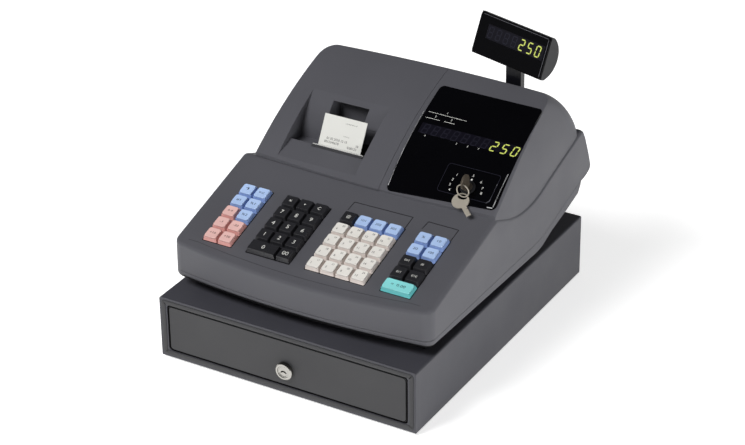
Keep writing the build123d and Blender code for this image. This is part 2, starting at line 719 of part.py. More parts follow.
# ---------------------------------------------------------------------------
# Receipt printer in its bay
# ---------------------------------------------------------------------------
paper_left = -90.5
paper_right = paper_left + paper_width
roll_y, roll_z = at(106, 205)
platen_y, platen_z = at(14.5, 194)
frame_left = paper_left - 9.5
frame_right = paper_right + 8.5
axle_radius = 4.0
with BuildPart() as printer_frame:
    for plate_x in (frame_left, frame_right - 2.0):
        with BuildSketch(Plane.YZ.offset(plate_x)):
            Polygon(at(-8, 158), at(150, 158), at(150, 195), at(125, 222), at(88, 222), at(62, 190), at(32, 199),
                    at(0, 199), at(-8, 185), align=None)
            with Locations((platen_y, platen_z)):
                Circle(3.08, mode=Mode.SUBTRACT)
            with Locations((roll_y, roll_z)):
                Circle(axle_radius + 0.08, mode=Mode.SUBTRACT)
        extrude(amount=2.0)
    slab(frame_left, frame_right, at(-8, 0)[0], at(150, 0)[0], at(0, 158)[1], at(0, 160)[1])
save(printer_frame, "printer_frame")

with BuildPart() as platen_roller:
    with BuildSketch(Plane.YZ.offset(paper_left - 1.5)):
        with Locations((platen_y, platen_z)):
            Circle(platen_radius)
    extrude(amount=paper_width + 3)
    with BuildSketch(Plane.YZ.offset(frame_left - 4)):
        with Locations((platen_y, platen_z)):
            Circle(3.0)
    extrude(amount=frame_right - frame_left + 8)
save(platen_roller, "platen_roller")

with BuildPart() as paper_roll:
    with BuildSketch(Plane.YZ.offset(paper_left)):
        with Locations((roll_y, roll_z)):
            Circle(roll_radius)
    extrude(amount=paper_width)
    with BuildSketch(Plane.YZ.offset(frame_left - 1.5)):
        with Locations((roll_y, roll_z)):
            Circle(axle_radius)
    extrude(amount=frame_right - frame_left + 3)
save(paper_roll, "paper_roll")

with BuildPart() as print_head:
    slab(paper_left - 1, paper_right + 1, at(-5, 0)[0], at(4.5, 0)[0], at(0, 182)[1], at(0, 198.5)[1])
    slab(paper_left + 8, paper_right - 8, at(-5, 0)[0], at(-1, 0)[0], at(0, 160)[1], at(0, 182)[1])
save(print_head, "print_head")

wrap = platen_radius + 0.25 + paper_thickness / 2
leave_roll = roll_z - roll_radius - 0.25 - paper_thickness / 2
with BuildPart() as receipt_paper:
    with BuildSketch(Plane.YZ.offset(paper_left)):
        with BuildLine() as path:
            Polyline((roll_y, leave_roll), (platen_y, platen_z - wrap))
            ThreePointArc((platen_y, platen_z - wrap), (platen_y - wrap * sqrt(0.5), platen_z - wrap * sqrt(0.5)),
                          (platen_y - wrap, platen_z))
            Polyline((platen_y - wrap, platen_z), (tear_y + 1.4, tear_z + 0.7), at(25.3, 248.3))
            offset(amount=paper_thickness / 2, kind=Kind.ARC)
        make_face()
    extrude(amount=paper_width)
save(receipt_paper, "receipt_paper")

# ---------------------------------------------------------------------------
# Cashier display window, display module, mode switch and keys
# ---------------------------------------------------------------------------
window = face_sheet(0.5, 0.5 - window_thickness) & window_prism(0, 0)
switch_normal = switch_plane.z_dir
switch_point = Vector(switch_x, switch_y, face_z(switch_y))
window = window - rod(switch_point - switch_normal * 10, switch_normal, switch_radius + 0.3, 20)
save_solid(window, "display_window")

band_y = at(50.5, 0)[0]
band_plane = face_plane(100.0, band_y)
with BuildPart() as operator_display:
    with BuildSketch(band_plane.offset(-window_thickness)):
        Rectangle(126.0, 22.0)
    extrude(amount=-8.0)
save(operator_display, "operator_display")

with BuildPart() as mode_switch:
    with BuildSketch(switch_plane.offset(2.2)):
        Circle(switch_radius)
    extrude(amount=-17.0)
    with BuildSketch(switch_plane.offset(-window_thickness + 0.2)):
        Circle(13.0)
    extrude(amount=-3.0)
    with BuildSketch(switch_plane.offset(2.2)):
        Circle(6.08)
    extrude(amount=-17.0, mode=Mode.SUBTRACT)
save(mode_switch, "mode_switch")

with BuildPart() as mode_key:
    with BuildSketch(switch_plane.offset(2.4)):
        Circle(6.0)
    extrude(amount=-16.0)
    with Locations(switch_plane):
        with Locations((0, 0, 5.0)):
            Box(2.2, 8.0, 6.0)
        with Locations((0, 0, 14.0)):
            Cylinder(9.5, 2.2, rotation=(0, 90, 0))
        with Locations((0, -5.5, 16.0)):
            Cylinder(2.4, 4.0, rotation=(0, 90, 0), mode=Mode.SUBTRACT)
save(mode_key, "mode_key")

ring_major = 8.0
ring_minor = 0.8
ring_top = switch_plane.from_local_coords(Vector(0, -5.5, 16.0))
with BuildPart() as key_ring:
    with Locations((ring_top.X, ring_top.Y, ring_top.Z - ring_major)):
        Torus(ring_major, ring_minor, rotation=(90, 0, 0))
save(key_ring, "key_ring")

# The spare key hangs from the ring and leans on nothing, just above the window; its blade points off to the right
spare_plane = Plane(origin=(ring_top.X, ring_top.Y, ring_top.Z - 2 * ring_major), x_dir=(1, 0, 0),
                    z_dir=(0, -sin(radians(30.0)), cos(radians(30.0))))
with BuildPart() as spare_key:
    with BuildSketch(spare_plane.offset(-1.0)):
        with Locations((0, -6.3)):
            Circle(10.8)
        with Locations(Location((0, -6.3, 0), (0, 0, 49.0))):
            with Locations((0, -16.5)):
                Rectangle(6.0, 17.0)
            for notch in (-15.5, -19.0, -22.5):
                with Locations((3.0, notch)):
                    Rectangle(2.4, 1.6, mode=Mode.SUBTRACT)
        with Locations((0, -0.4)):
            Ellipse(6.4, 4.0, mode=Mode.SUBTRACT)
    extrude(amount=2.0)
save(spare_key, "spare_key")

# ---------------------------------------------------------------------------
# Keyboard plate, boards and transformer inside
# ---------------------------------------------------------------------------
plate_top = -key_skirt - key_travel - 2.0
with BuildPart() as keyboard_plate:
    deck_box((key_x(0) - 18, key_x(13) + 18, key_s(0) - 18, key_s(4) + 18), plate_top - 2.0, plate_top)
    for well in well_columns:
        deck_box(well_edges(well, key_gap + 1.8), plate_top, -cabinet_wall)
    for well in well_columns:
        deck_box(well_edges(well, key_gap), plate_top, 0, mode=Mode.SUBTRACT)
    with BuildSketch(deck.offset(plate_top)):
        for columns in ((0, 1), (3, 4, 5), (7, 8, 9, 10), (12, 13)):
            for column in columns:
                for row in range(5):
                    with Locations((key_x(column), key_s(row))):
                        Circle(stem_radius + 0.4)
    extrude(amount=-3.0, mode=Mode.SUBTRACT)
save(keyboard_plate, "keyboard_plate")

with BuildPart() as main_board:
    slab(-120, 120, at(-150, 0)[0], at(-28, 0)[0], board_low, board_low + 1.6)
    slab(-60, -35, at(-110, 0)[0], at(-85, 0)[0], board_low + 1.6, board_low + 5)
    slab(20, 40, at(-120, 0)[0], at(-70, 0)[0], board_low + 1.6, board_low + 5)
save(main_board, "main_board")

with BuildPart() as power_transformer:
    slab(70, 130, at(106, 0)[0], at(160, 0)[0], mains_low, mains_low + 42)
    slab(66, 134, at(118, 0)[0], at(148, 0)[0], mains_low, mains_low + 46)
save(power_transformer, "power_transformer")

# ---------------------------------------------------------------------------
# Keys: tapered caps with a skirt and a guide stem
# ---------------------------------------------------------------------------
colour_top = (14.0, 13.6)
black_top = (15.4, 15.0)


def key_caps(name, places, top):
    """One node of key caps. Each place is first column, last column, row."""
    with BuildPart() as caps:
        for first, last, row in places:
            middle = (key_x(first) + key_x(last)) / 2
            extra = key_x(last) - key_x(first)
            with BuildSketch(deck.offset(-key_skirt)):
                with Locations((middle, key_s(row))):
                    Rectangle(key_size + extra, key_size)
            extrude(amount=key_skirt + 0.6)
            with BuildSketch(deck.offset(0.6)):
                with Locations((middle, key_s(row))):
                    Rectangle(key_size + extra - 1.0, key_size - 1.0)
            with BuildSketch(deck.offset(key_height)):
                with Locations((middle, key_s(row))):
                    Rectangle(top[0] + extra, top[1])
            loft()
            with BuildSketch(deck.offset(-key_skirt)):
                for column in range(first, last + 1):
                    with Locations((key_x(column), key_s(row))):
                        Circle(stem_radius)
            extrude(amount=-key_travel - 6.0)
    save(caps, name)


for number in range(1, 10):
    key_caps("key_" + str(number), [(3 + (number - 1) % 3, 3 + (number - 1) % 3, 1 + (number - 1) // 3)], black_top)
key_caps("key_0", [(3, 4, 0)], black_top)
key_caps("key_00", [(5, 5, 0)], black_top)
key_caps("key_multiply", [(3, 3, 4)], black_top)
key_caps("key_decimal", [(4, 4, 4)], black_top)
key_caps("key_clear", [(5, 5, 4)], black_top)
key_caps("keys_left_blue", [(0, 0, 4), (1, 1, 4), (0, 0, 3), (1, 1, 3), (1, 1, 2)], colour_top)
key_caps("keys_left_pink", [(0, 0, 2), (0, 0, 1), (1, 1, 1), (0, 0, 0), (1, 1, 0)], colour_top)
key_caps("keys_department", [(column, column, row) for column in range(7, 11) for row in range(4)], colour_top)
key_caps("keys_function_row", [(column, column, 4) for column in range(7, 11)], colour_top)
key_caps("keys_right_blue", [(column, column, row) for column in (12, 13) for row in (3, 4)], colour_top)
key_caps("keys_right_black", [(column, column, row) for column in (12, 13) for row in (1, 2)], black_top)
key_caps("key_total", [(12, 13, 0)], colour_top)

# ---------------------------------------------------------------------------
# Customer display: lift-up post with a swivelling, tilted head
# ---------------------------------------------------------------------------
head_z = at(0, 328)[1]
spigot_low = at(0, 301)[1]
pole_low = at(0, 228)[1]
spigot_radius = 5.0
with BuildPart() as display_pole:
    slab(post_x - pole_width / 2, post_x + pole_width / 2, post_y - pole_depth / 2, post_y + pole_depth / 2,
         pole_low - pole_drop, spigot_low)
    with BuildSketch(Plane.XY.offset(spigot_low)):
        with Locations((post_x, post_y)):
            Circle(spigot_radius - 0.08)
    extrude(amount=19.0)
save(display_pole, "display_pole")

turn = radians(head_turn)
tilt = radians(head_tilt)
across = Vector(cos(turn), sin(turn), 0)
behind = Vector(-sin(turn) * cos(tilt), cos(turn) * cos(tilt), -sin(tilt))
upward = across.cross(behind)
head_origin = Vector(post_x, post_y, head_z)
head_front = 9.9
head_side = Plane(origin=head_origin - across * (head_width / 2), x_dir=behind, z_dir=across)
head_face = Plane(origin=head_origin - behind * head_front, x_dir=across, z_dir=behind * -1)
glass = 1.5
with BuildPart() as head_housing:
    with BuildSketch(head_side):
        with BuildLine():
            Polyline((-3.0, head_height / 2), (-head_front + glass, head_height / 2),
                     (-head_front + glass, -head_height / 2), (-3.0, -head_height / 2))
            ThreePointArc((-3.0, -head_height / 2), (head_depth - head_front - 7.0, 0), (-3.0, head_height / 2))
        make_face()
    extrude(amount=head_width)
    with BuildSketch(head_face.offset(-glass)):
        Rectangle(96.0, 26.0)
    extrude(amount=-4.0, mode=Mode.SUBTRACT)
head_bore = rod((post_x, post_y, spigot_low - 10), (0, 0, 1), spigot_radius, 30)
save_solid(head_housing.part - head_bore, "head_housing")

with BuildPart() as head_window:
    with BuildSketch(head_face):
        RectangleRounded(head_width - 1.0, head_height - 1.0, 4.0)
    extrude(amount=-glass)
save(head_window, "head_window")

with BuildPart() as head_display:
    with BuildSketch(head_face.offset(-glass)):
        Rectangle(94.0, 24.0)
    extrude(amount=-3.6)
save(head_display, "head_display")
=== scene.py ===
import json
import math

import bmesh
import bpy
from mathutils import Matrix, Vector

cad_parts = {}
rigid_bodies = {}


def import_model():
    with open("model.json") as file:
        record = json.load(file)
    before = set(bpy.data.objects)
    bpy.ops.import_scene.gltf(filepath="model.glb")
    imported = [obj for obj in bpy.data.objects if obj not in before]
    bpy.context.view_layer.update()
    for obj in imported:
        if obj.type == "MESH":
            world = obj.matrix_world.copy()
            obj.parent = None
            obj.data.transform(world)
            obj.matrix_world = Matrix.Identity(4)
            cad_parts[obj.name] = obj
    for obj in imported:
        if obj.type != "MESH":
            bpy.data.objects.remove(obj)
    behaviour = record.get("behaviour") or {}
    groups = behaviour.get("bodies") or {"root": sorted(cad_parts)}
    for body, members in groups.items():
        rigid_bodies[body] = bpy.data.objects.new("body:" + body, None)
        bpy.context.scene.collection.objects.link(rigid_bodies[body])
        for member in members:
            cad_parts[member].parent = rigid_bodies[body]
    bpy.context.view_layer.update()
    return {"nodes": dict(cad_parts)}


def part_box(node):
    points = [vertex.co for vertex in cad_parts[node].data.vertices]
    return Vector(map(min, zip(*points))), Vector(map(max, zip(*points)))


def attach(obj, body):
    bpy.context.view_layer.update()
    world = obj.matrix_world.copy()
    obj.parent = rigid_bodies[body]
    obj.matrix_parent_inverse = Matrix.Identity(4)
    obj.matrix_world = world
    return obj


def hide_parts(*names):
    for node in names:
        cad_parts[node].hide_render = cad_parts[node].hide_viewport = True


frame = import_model()
nodes = frame["nodes"]
mm = 0.001

# ---------------------------------------------------------------------------
# Drawer case: a folded and spot-welded steel box, open at the front, with a
# raised hem round the mouth. Powder coated in dark grey, fine dry texture.
# ---------------------------------------------------------------------------


def tone(red, green, blue):
    """A paint colour from its 0 to 255 parts."""
    parts = []
    for part in (red, green, blue):
        part = part / 255
        parts.append(part / 12.92 if part <= 0.04045 else ((part + 0.055) / 1.055) ** 2.4)
    return (*parts, 1.0)


def ramp(tree, value, low, high, at_low, at_high):
    """Turns a value between low and high into one between at_low and at_high."""
    node = tree.nodes.new("ShaderNodeMapRange")
    for socket, number in (("From Min", low), ("From Max", high), ("To Min", at_low), ("To Max", at_high)):
        node.inputs[socket].default_value = number
    tree.links.new(value, node.inputs["Value"])
    return node.outputs["Result"]


def finish(name, colour, rough, grain=900.0, relief=0.00008, cloud=0.06, wear_and_highlight=0.25, rim=0.9, metal=0.0,
           gloss=0.5, coat=0.0):
    """A moulded, painted or cast finish: fine grain, faint clouds in the colour, edges paler, partly as polish from
    handling and partly as painted highlight.
    """
    material = bpy.data.materials.new(name)
    material.use_nodes = True
    tree = material.node_tree
    make = tree.nodes.new
    link = tree.links.new
    shader = tree.nodes["Principled BSDF"]
    shader.inputs["Metallic"].default_value = metal
    shader.inputs["Specular IOR Level"].default_value = gloss
    shader.inputs["Coat Weight"].default_value = coat
    shader.inputs["Coat Roughness"].default_value = 0.08
    place = make("ShaderNodeTexCoord")
    clouds = make("ShaderNodeTexNoise")
    clouds.inputs["Scale"].default_value = 14.0
    clouds.inputs["Detail"].default_value = 5.0
    link(place.outputs["Object"], clouds.inputs["Vector"])
    shades = make("ShaderNodeValToRGB")
    shades.name = "shades"
    shades.color_ramp.elements[0].position = 0.3
    shades.color_ramp.elements[1].position = 0.7
    shades.color_ramp.elements[0].color = tuple(part * (1 - cloud) for part in colour[:3]) + (1.0,)
    shades.color_ramp.elements[1].color = tuple(part * (1 + cloud) for part in colour[:3]) + (1.0,)
    link(clouds.outputs["Fac"], shades.inputs["Fac"])
    specks = make("ShaderNodeTexNoise")
    specks.inputs["Scale"].default_value = grain
    specks.inputs["Detail"].default_value = 3.0
    link(place.outputs["Object"], specks.inputs["Vector"])
    # Edges: where a rounded normal leaves the flat one, the finish is paler, partly polished by handling and partly
    # a painted highlight
    rounded = make("ShaderNodeBevel")
    rounded.samples = 4
    rounded.inputs["Radius"].default_value = rim * mm
    shape = make("ShaderNodeNewGeometry")
    bend = make("ShaderNodeVectorMath")
    bend.operation = "DOT_PRODUCT"
    link(rounded.outputs["Normal"], bend.inputs[0])
    link(shape.outputs["Normal"], bend.inputs[1])
    flat, turned = 0.998, 0.9
    edge = ramp(tree, bend.outputs["Value"], flat, turned, 0.0, wear_and_highlight)
    pale = make("ShaderNodeMix")
    pale.name = "pale"
    pale.data_type = "RGBA"
    pale.inputs["B"].default_value = tuple(min(1.0, part * 1.7 + 0.02) for part in colour[:3]) + (1.0,)
    link(edge, pale.inputs["Factor"])
    link(shades.outputs["Color"], pale.inputs["A"])
    link(pale.outputs["Result"], shader.inputs["Base Color"])
    # Roughness follows the clouds
    swing = 0.07
    polish = ramp(tree, clouds.outputs["Fac"], 0.25, 0.75, max(0.02, rough - swing), min(1.0, rough + swing))
    link(polish, shader.inputs["Roughness"])
    bump = make("ShaderNodeBump")
    bump.inputs["Strength"].default_value = 0.6
    bump.inputs["Distance"].default_value = relief
    link(specks.outputs["Fac"], bump.inputs["Height"])
    link(rounded.outputs["Normal"], bump.inputs["Normal"])
    link(bump.outputs["Normal"], shader.inputs["Normal"])
    return material


def dress(node, material):
    """Gives a node that stays as it is its own material."""
    part = nodes[node]
    if not part.material_slots:
        part.data.materials.append(material)
    for place in part.material_slots:
        place.material = material


def work_on(*pieces):
    """Only these pieces are selected, the first one is active."""
    for other in bpy.context.scene.objects:
        other.select_set(False)
    for piece in pieces:
        piece.select_set(True)
    bpy.context.view_layer.objects.active = pieces[0]


def settle(piece, name, body, material, place=None, smooth=35.0):
    """Names a finished piece, applies its place, and lets it ride on its body."""
    work_on(piece)
    if place is not None:
        piece.matrix_world = place
    bpy.ops.object.transform_apply(location=True, rotation=True, scale=True)
    piece.name = name
    piece.data.name = name
    piece.data.materials.clear()
    piece.data.materials.append(material)
    bpy.ops.object.shade_smooth_by_angle(angle=math.radians(smooth))
    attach(piece, body)
    return piece


def soften(piece, radius, steps=2, above=28.0):
    """Small radii on every edge sharper than an angle."""
    work_on(piece)
    bevel = piece.modifiers.new("radius", "BEVEL")
    bevel.width = radius * mm
    bevel.segments = steps
    bevel.limit_method = "ANGLE"
    bevel.angle_limit = math.radians(above)
    bpy.ops.object.modifier_apply(modifier="radius")


def plate(width, height, corner=0.0, steps=5):
    """A flat sheet on the local ground plane, in mm, with rounded corners, opened for modelling."""
    work_on(floor_mark)
    bpy.ops.mesh.primitive_plane_add(size=1)
    piece = bpy.context.object
    piece.scale = (width * mm, height * mm, 1)
    bpy.ops.object.transform_apply(location=False, rotation=False, scale=True)
    bpy.ops.object.mode_set(mode="EDIT")
    bpy.ops.mesh.select_all(action="SELECT")
    if corner:
        bpy.ops.mesh.bevel(affect="VERTICES", offset=corner * mm, segments=steps)
        bpy.ops.mesh.select_all(action="SELECT")
    return piece


def thicken(piece, amount):
    """Closes modelling and gives a flat sheet its thickness, upwards."""
    if bpy.context.mode == "EDIT_MESH":
        bpy.ops.object.mode_set(mode="OBJECT")
    work_on(piece)
    wall = piece.modifiers.new("wall", "SOLIDIFY")
    wall.thickness = amount * mm
    wall.offset = 1.0
    bpy.ops.object.modifier_apply(modifier="wall")


def band(width, height, breadth, thick, corner=0.0):
    """A flat closed band, its outline width by height, its back on the local ground plane."""
    piece = plate(width, height, corner)
    bpy.ops.mesh.inset(thickness=breadth * mm)
    bpy.ops.mesh.delete(type="FACE")
    thicken(piece, thick)
    return piece


floor_mark = nodes["drawer_case"]
case_paint = finish("case_paint", tone(60, 60, 66), 0.5, grain=700.0, relief=0.00012, wear_and_highlight=0.3)
# The drawer front and the hem round the mouth share the case's coat, painted darker as shade on the front.
front_paint = finish("front_paint", tone(47, 47, 49), 0.5, grain=700.0, relief=0.00012, wear_and_highlight=0.35)
dress("drawer_case", case_paint)
facing = Matrix.Rotation(math.radians(90), 4, "X")
hem = band(353.6, 76.6, 5.6, 0.5, corner=4.0)
soften(hem, 0.2)
mouth_place = Matrix.Translation(Vector((0, -225, 44.4)) * mm) @ facing
settle(hem, "mouth_hem", "cabinet", front_paint, mouth_place)

# ---------------------------------------------------------------------------
# Four rubber feet under the case, and the two steel runners inside it.
# The feet are moulded nitrile rubber; the runners are folded zinc-plated steel.
# ---------------------------------------------------------------------------
rubber = finish("rubber", tone(28, 28, 29), 0.8, grain=500.0, relief=0.00015, wear_and_highlight=0.1)
runner_steel = finish("bare_steel", tone(150, 150, 152), 0.38, grain=260.0, relief=0.00004, metal=1.0, wear_and_highlight=0.1)
dress("rubber_feet", rubber)
dress("drawer_runners", runner_steel)

# ---------------------------------------------------------------------------
# Drawer: folded steel tray behind a flush steel front, and its eject spring.
# The front has the same powder coat as the case, painted darker as shade on the front; the tray is plain steel.
# ---------------------------------------------------------------------------
dress("drawer_front", front_paint)
# A black ring behind the edge of the front and a thin black edging on its rim are painted shade in the gap to the
# case
front_gap_shade = finish("front_gap_shade", tone(5, 5, 5), 0.95, grain=2200.0, relief=0.0001, wear_and_highlight=0.0, gloss=0.1)
front_place = Matrix.Translation(Vector((0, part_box("drawer_front")[0][1] / mm, 44.75)) * mm) @ facing
shade_ring = band(337.2, 64.7, 1.5, 3.0, corner=5.6)
shade_edging = band(334.0, 61.5, 0.9, 0.05, corner=5.0)
shade_ring.matrix_world = Matrix.Translation((0, 0, -3.6 * mm))
work_on(shade_ring)
bpy.ops.object.transform_apply(location=True, rotation=True, scale=True)
work_on(shade_edging, shade_ring)
bpy.ops.object.join()
settle(shade_edging, "drawer_front_gap_shade", "drawer", front_gap_shade, front_place)
dress("drawer_tray", runner_steel)
dress("eject_spring", runner_steel)
dress("drawer_latch", runner_steel)

# ---------------------------------------------------------------------------
# Cam lock: chrome-plated zinc barrel in the drawer front and its turning plug.
# Both are die cast, polished and bright plated; the key slot is an arched cut.
# ---------------------------------------------------------------------------
chrome = finish("chrome", tone(166, 164, 159), 0.2, grain=150.0, relief=0.00001, metal=1.0, wear_and_highlight=0.0, rim=0.6)
black_plastic = finish("black_plastic", tone(34, 34, 36), 0.42, grain=900.0, relief=0.00006, wear_and_highlight=0.2)
dress("lock_barrel", chrome)
lock_low, lock_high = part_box("lock_plug")
plug_radius = (lock_high[0] - lock_low[0]) / 2
plug_depth = lock_high[1] - lock_low[1]
work_on(floor_mark)
bpy.ops.mesh.primitive_cylinder_add(vertices=48, radius=plug_radius, depth=plug_depth,
                                    location=(0, 0, -plug_depth / 2))
plug = bpy.context.object
bpy.ops.object.transform_apply(location=True, rotation=False, scale=False)
bpy.ops.object.mode_set(mode="EDIT")


def choose_faces(piece, test):
    """In edit mode, selects the faces whose middle in mm and normal pass a test."""
    bpy.ops.mesh.select_mode(type="FACE")
    bpy.ops.mesh.select_all(action="DESELECT")
    shape = bmesh.from_edit_mesh(piece.data)
    for face in shape.faces:
        if test(face.calc_center_median() / mm, face.normal):
            face.select_set(True)
    bmesh.update_edit_mesh(piece.data)


def choose_corners(piece, test):
    """In edit mode, selects the corners whose place in mm passes a test."""
    bpy.ops.mesh.select_mode(type="VERT")
    bpy.ops.mesh.select_all(action="DESELECT")
    shape = bmesh.from_edit_mesh(piece.data)
    for corner in shape.verts:
        if test(corner.co / mm):
            corner.select_set(True)
    shape.select_flush(True)
    bmesh.update_edit_mesh(piece.data)


def join(pieces):
    """Several pieces become the first one."""
    work_on(*pieces)
    if len(pieces) > 1:
        bpy.ops.object.join()
    return pieces[0]


choose_faces(plug, lambda place, normal: normal.z > 0.9)
bpy.ops.mesh.inset(thickness=1.6 * mm)
bpy.ops.mesh.extrude_region_move(TRANSFORM_OT_translate={"value": (0, 0, -0.5 * mm)})
bpy.ops.transform.resize(value=(0.97, 0.97, 1))
bpy.ops.object.mode_set(mode="OBJECT")
keyway = plate(8.4, 1.9, 0.9, 3)
bpy.ops.mesh.subdivide(number_cuts=6)
arch = 0.17
for reach in (0.8, 1.6, 2.4, 3.2):
    choose_corners(keyway, lambda place: abs(place.x) > reach)
    bpy.ops.transform.translate(value=(0, -arch * reach * mm, 0))
thicken(keyway, 6.0)
keyway.location.z = -4.0 * mm
bpy.ops.object.transform_apply(location=True, rotation=False, scale=False)
work_on(plug)
cut = plug.modifiers.new("keyway", "BOOLEAN")
cut.operation = "DIFFERENCE"
cut.object = keyway
bpy.ops.object.modifier_apply(modifier="keyway")
bpy.data.objects.remove(keyway)
soften(plug, 0.25)
cam = plate(7.0, 21.5, 3.4, 6)
thicken(cam, 2.0)
cam.matrix_world = Matrix.Translation((0, 7.25 * mm, -plug_depth))
bpy.ops.object.transform_apply(location=True, rotation=True, scale=True)
soften(cam, 0.25)
lock_face = Matrix.Translation((0, lock_low[1], lock_low[2] + plug_radius))
settle(join([plug, cam]), "lock_plug_turning", "lock", chrome, lock_face @ facing)
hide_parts("lock_plug")
# A dark plate in the keyway is painted shade in its depth.
keyway_shade = finish("keyway_shade", tone(8, 8, 8), 0.9, grain=900.0, relief=0.0, wear_and_highlight=0.0)
shade = plate(9.0, 5.0, 2.0, 3)
thicken(shade, 0.2)
keyway_shade_place = lock_face @ facing @ Matrix.Translation((0, 0, -2.0 * mm))
settle(shade, "lock_keyway_shade", "lock", keyway_shade, keyway_shade_place)

# ---------------------------------------------------------------------------
# Till tray with five note bays, the lift-out coin cups, and the bill clips.
# Injection-moulded black plastic, the clips are sprung steel wire and plate.
# ---------------------------------------------------------------------------
dress("till_tray", black_plastic)
dress("coin_tray", black_plastic)
for clip in range(1, 6):
    dress("bill_clip_" + str(clip), runner_steel)

# ---------------------------------------------------------------------------
# Cabinet: two halves of grey textured ABS that snap together along a fine seam,
# the lower one a shallow tub whose foot is painted black and whose lower front edge is painted shade, the upper one
# deck and housing.
# ---------------------------------------------------------------------------
cabinet_grey, lower_grey = (finish(name, tone(80, 80, 85), 0.5, grain=1100.0, relief=0.00007, cloud=0.03,
                                   wear_and_highlight=0.2, gloss=0.4) for name in ("cabinet_grey", "lower_grey"))


def black_foot(material, half_width, front, back, top, rise, slope):
    """Paints part of a moulding black, in mm: the foot, and as painted shade what lies under a line that drops
    towards the rear.
    """
    tree = material.node_tree
    make = tree.nodes.new
    link = tree.links.new
    place = make("ShaderNodeTexCoord")
    split = make("ShaderNodeSeparateXYZ")
    link(place.outputs["Object"], split.inputs["Vector"])

    def step(kind, value, other):
        node = make("ShaderNodeMath")
        node.operation = kind
        link(value, node.inputs[0])
        if isinstance(other, (int, float)):
            node.inputs[1].default_value = other
        else:
            link(other, node.inputs[1])
        return node.outputs["Value"]

    width = step("LESS_THAN", step("ABSOLUTE", split.outputs["X"], 0.0), half_width * mm)
    length = step("MULTIPLY", step("GREATER_THAN", split.outputs["Y"], front * mm),
                  step("LESS_THAN", split.outputs["Y"], back * mm))
    low = step("LESS_THAN", split.outputs["Z"], top * mm)
    foot = step("MULTIPLY", step("MULTIPLY", width, length), low)
    shade_band = step("LESS_THAN", step("ADD", split.outputs["Z"], step("MULTIPLY", split.outputs["Y"], slope)), rise * mm)
    black = make("ShaderNodeMix")
    black.data_type = "RGBA"
    black.inputs["B"].default_value = tone(4, 4, 5)
    link(step("MAXIMUM", foot, shade_band), black.inputs["Factor"])
    link(tree.nodes["pale"].outputs["Result"], black.inputs["A"])
    link(black.outputs["Result"], tree.nodes["Principled BSDF"].inputs["Base Color"])


# The foot is painted black; the band under the sloping line along the lip's lower edge is painted shade.
black_foot(lower_grey, half_width=162.5, front=-172.5, back=78.5, top=98.5, rise=80.95, slope=0.117)
dress("lower_cabinet", lower_grey)
dress("upper_cabinet", cabinet_grey)
dress("printer_cover", cabinet_grey)
dress("cable_gland", rubber)

deck_slope = math.radians(16.06)
deck = Matrix.Translation(Vector((0, -185.5, 148.73)) * mm) @ Matrix.Rotation(deck_slope, 4, "X")
ink_black = finish("ink_black", tone(24, 24, 26), 0.6, grain=1500.0, relief=0.00002, wear_and_highlight=0.0)
groove_shade = finish("groove_shade", tone(48, 48, 50), 0.7, grain=1500.0, relief=0.00002, wear_and_highlight=0.0)


def strip(ends, breadth, thick):
    """A fine straight line between two places on a local plane, in mm, its ends rounded."""
    start, end = (Vector(place) for place in ends)
    line = plate((end - start).length + breadth, breadth, breadth * 0.45, 2)
    thicken(line, thick)
    work_on(line)
    run = end - start
    line.matrix_world = (Matrix.Translation(((start + end) / 2 * mm).to_3d())
                         @ Matrix.Rotation(math.atan2(run.y, run.x), 4, "Z"))
    bpy.ops.object.transform_apply(location=True, rotation=True, scale=True)
    return line


# Printed brackets behind two key blocks
bracket_lines = []
for path in (((-0.6, 117.5), (0.5, 132.4), (81.8, 133.2), (81.4, 111.5)),
             ((101.6, 119.5), (103.4, 132.8), (144.8, 132.4), (144.2, 111.5))):
    for start, end in zip(path, path[1:]):
        bracket_lines.append(strip((start, end), 1.0, 0.06))
settle(join(bracket_lines), "deck_brackets", "cabinet", ink_black, deck)

# A dark strip across the deck in front of the keys, along the bow of the lip: painted shade in the moulded shadow
# line
groove_steps, groove_step, bow_radius = 12, 13.5, 1200.0
groove = plate(2 * groove_steps * groove_step, 0.5)
bpy.ops.mesh.subdivide(number_cuts=2 * groove_steps - 1)
for step in range(groove_steps - 1):
    reach = groove_step * (step + 0.3)
    choose_corners(groove, lambda place: abs(place.x) > reach)
    rise = ((reach + groove_step) ** 2 - reach ** 2) / (2 * bow_radius)
    bpy.ops.transform.translate(value=(0, rise * mm, 0))
thicken(groove, 0.05)
groove_place = deck @ Matrix.Translation((0, -6.2 * mm, 0))
settle(groove, "deck_shadow_line", "cabinet", groove_shade, groove_place)

# ---------------------------------------------------------------------------
# Printer: steel frame, rubber platen, paper roll, print head and cutter blade.
# The receipt leaves the slot with a few printed figures near its lower end.
# ---------------------------------------------------------------------------
aluminium = finish("aluminium", tone(235, 235, 232), 0.35, grain=400.0, relief=0.00002, metal=0.3, wear_and_highlight=0.0)
paper = finish("paper", tone(206, 206, 201), 0.75, grain=1600.0, relief=0.00002, cloud=0.015, wear_and_highlight=0.0, rim=0.2)
ink_grey = finish("ink_grey", tone(52, 52, 54), 0.8, grain=2500.0, relief=0.00002, cloud=0.3, wear_and_highlight=0.0, rim=0.1)
dress("printer_frame", black_plastic)
dress("platen_roller", rubber)
dress("paper_roll", paper)
dress("receipt_paper", paper)
blade_steel = finish("blade_steel", tone(70, 70, 73), 0.4, grain=400.0, relief=0.00002, metal=0.3, wear_and_highlight=0.0)
dress("print_head", black_plastic)
dress("cutter_blade", blade_steel)

# Behind the paper the cover closes with a dark floor and back, and a grey cheek beside the paper window


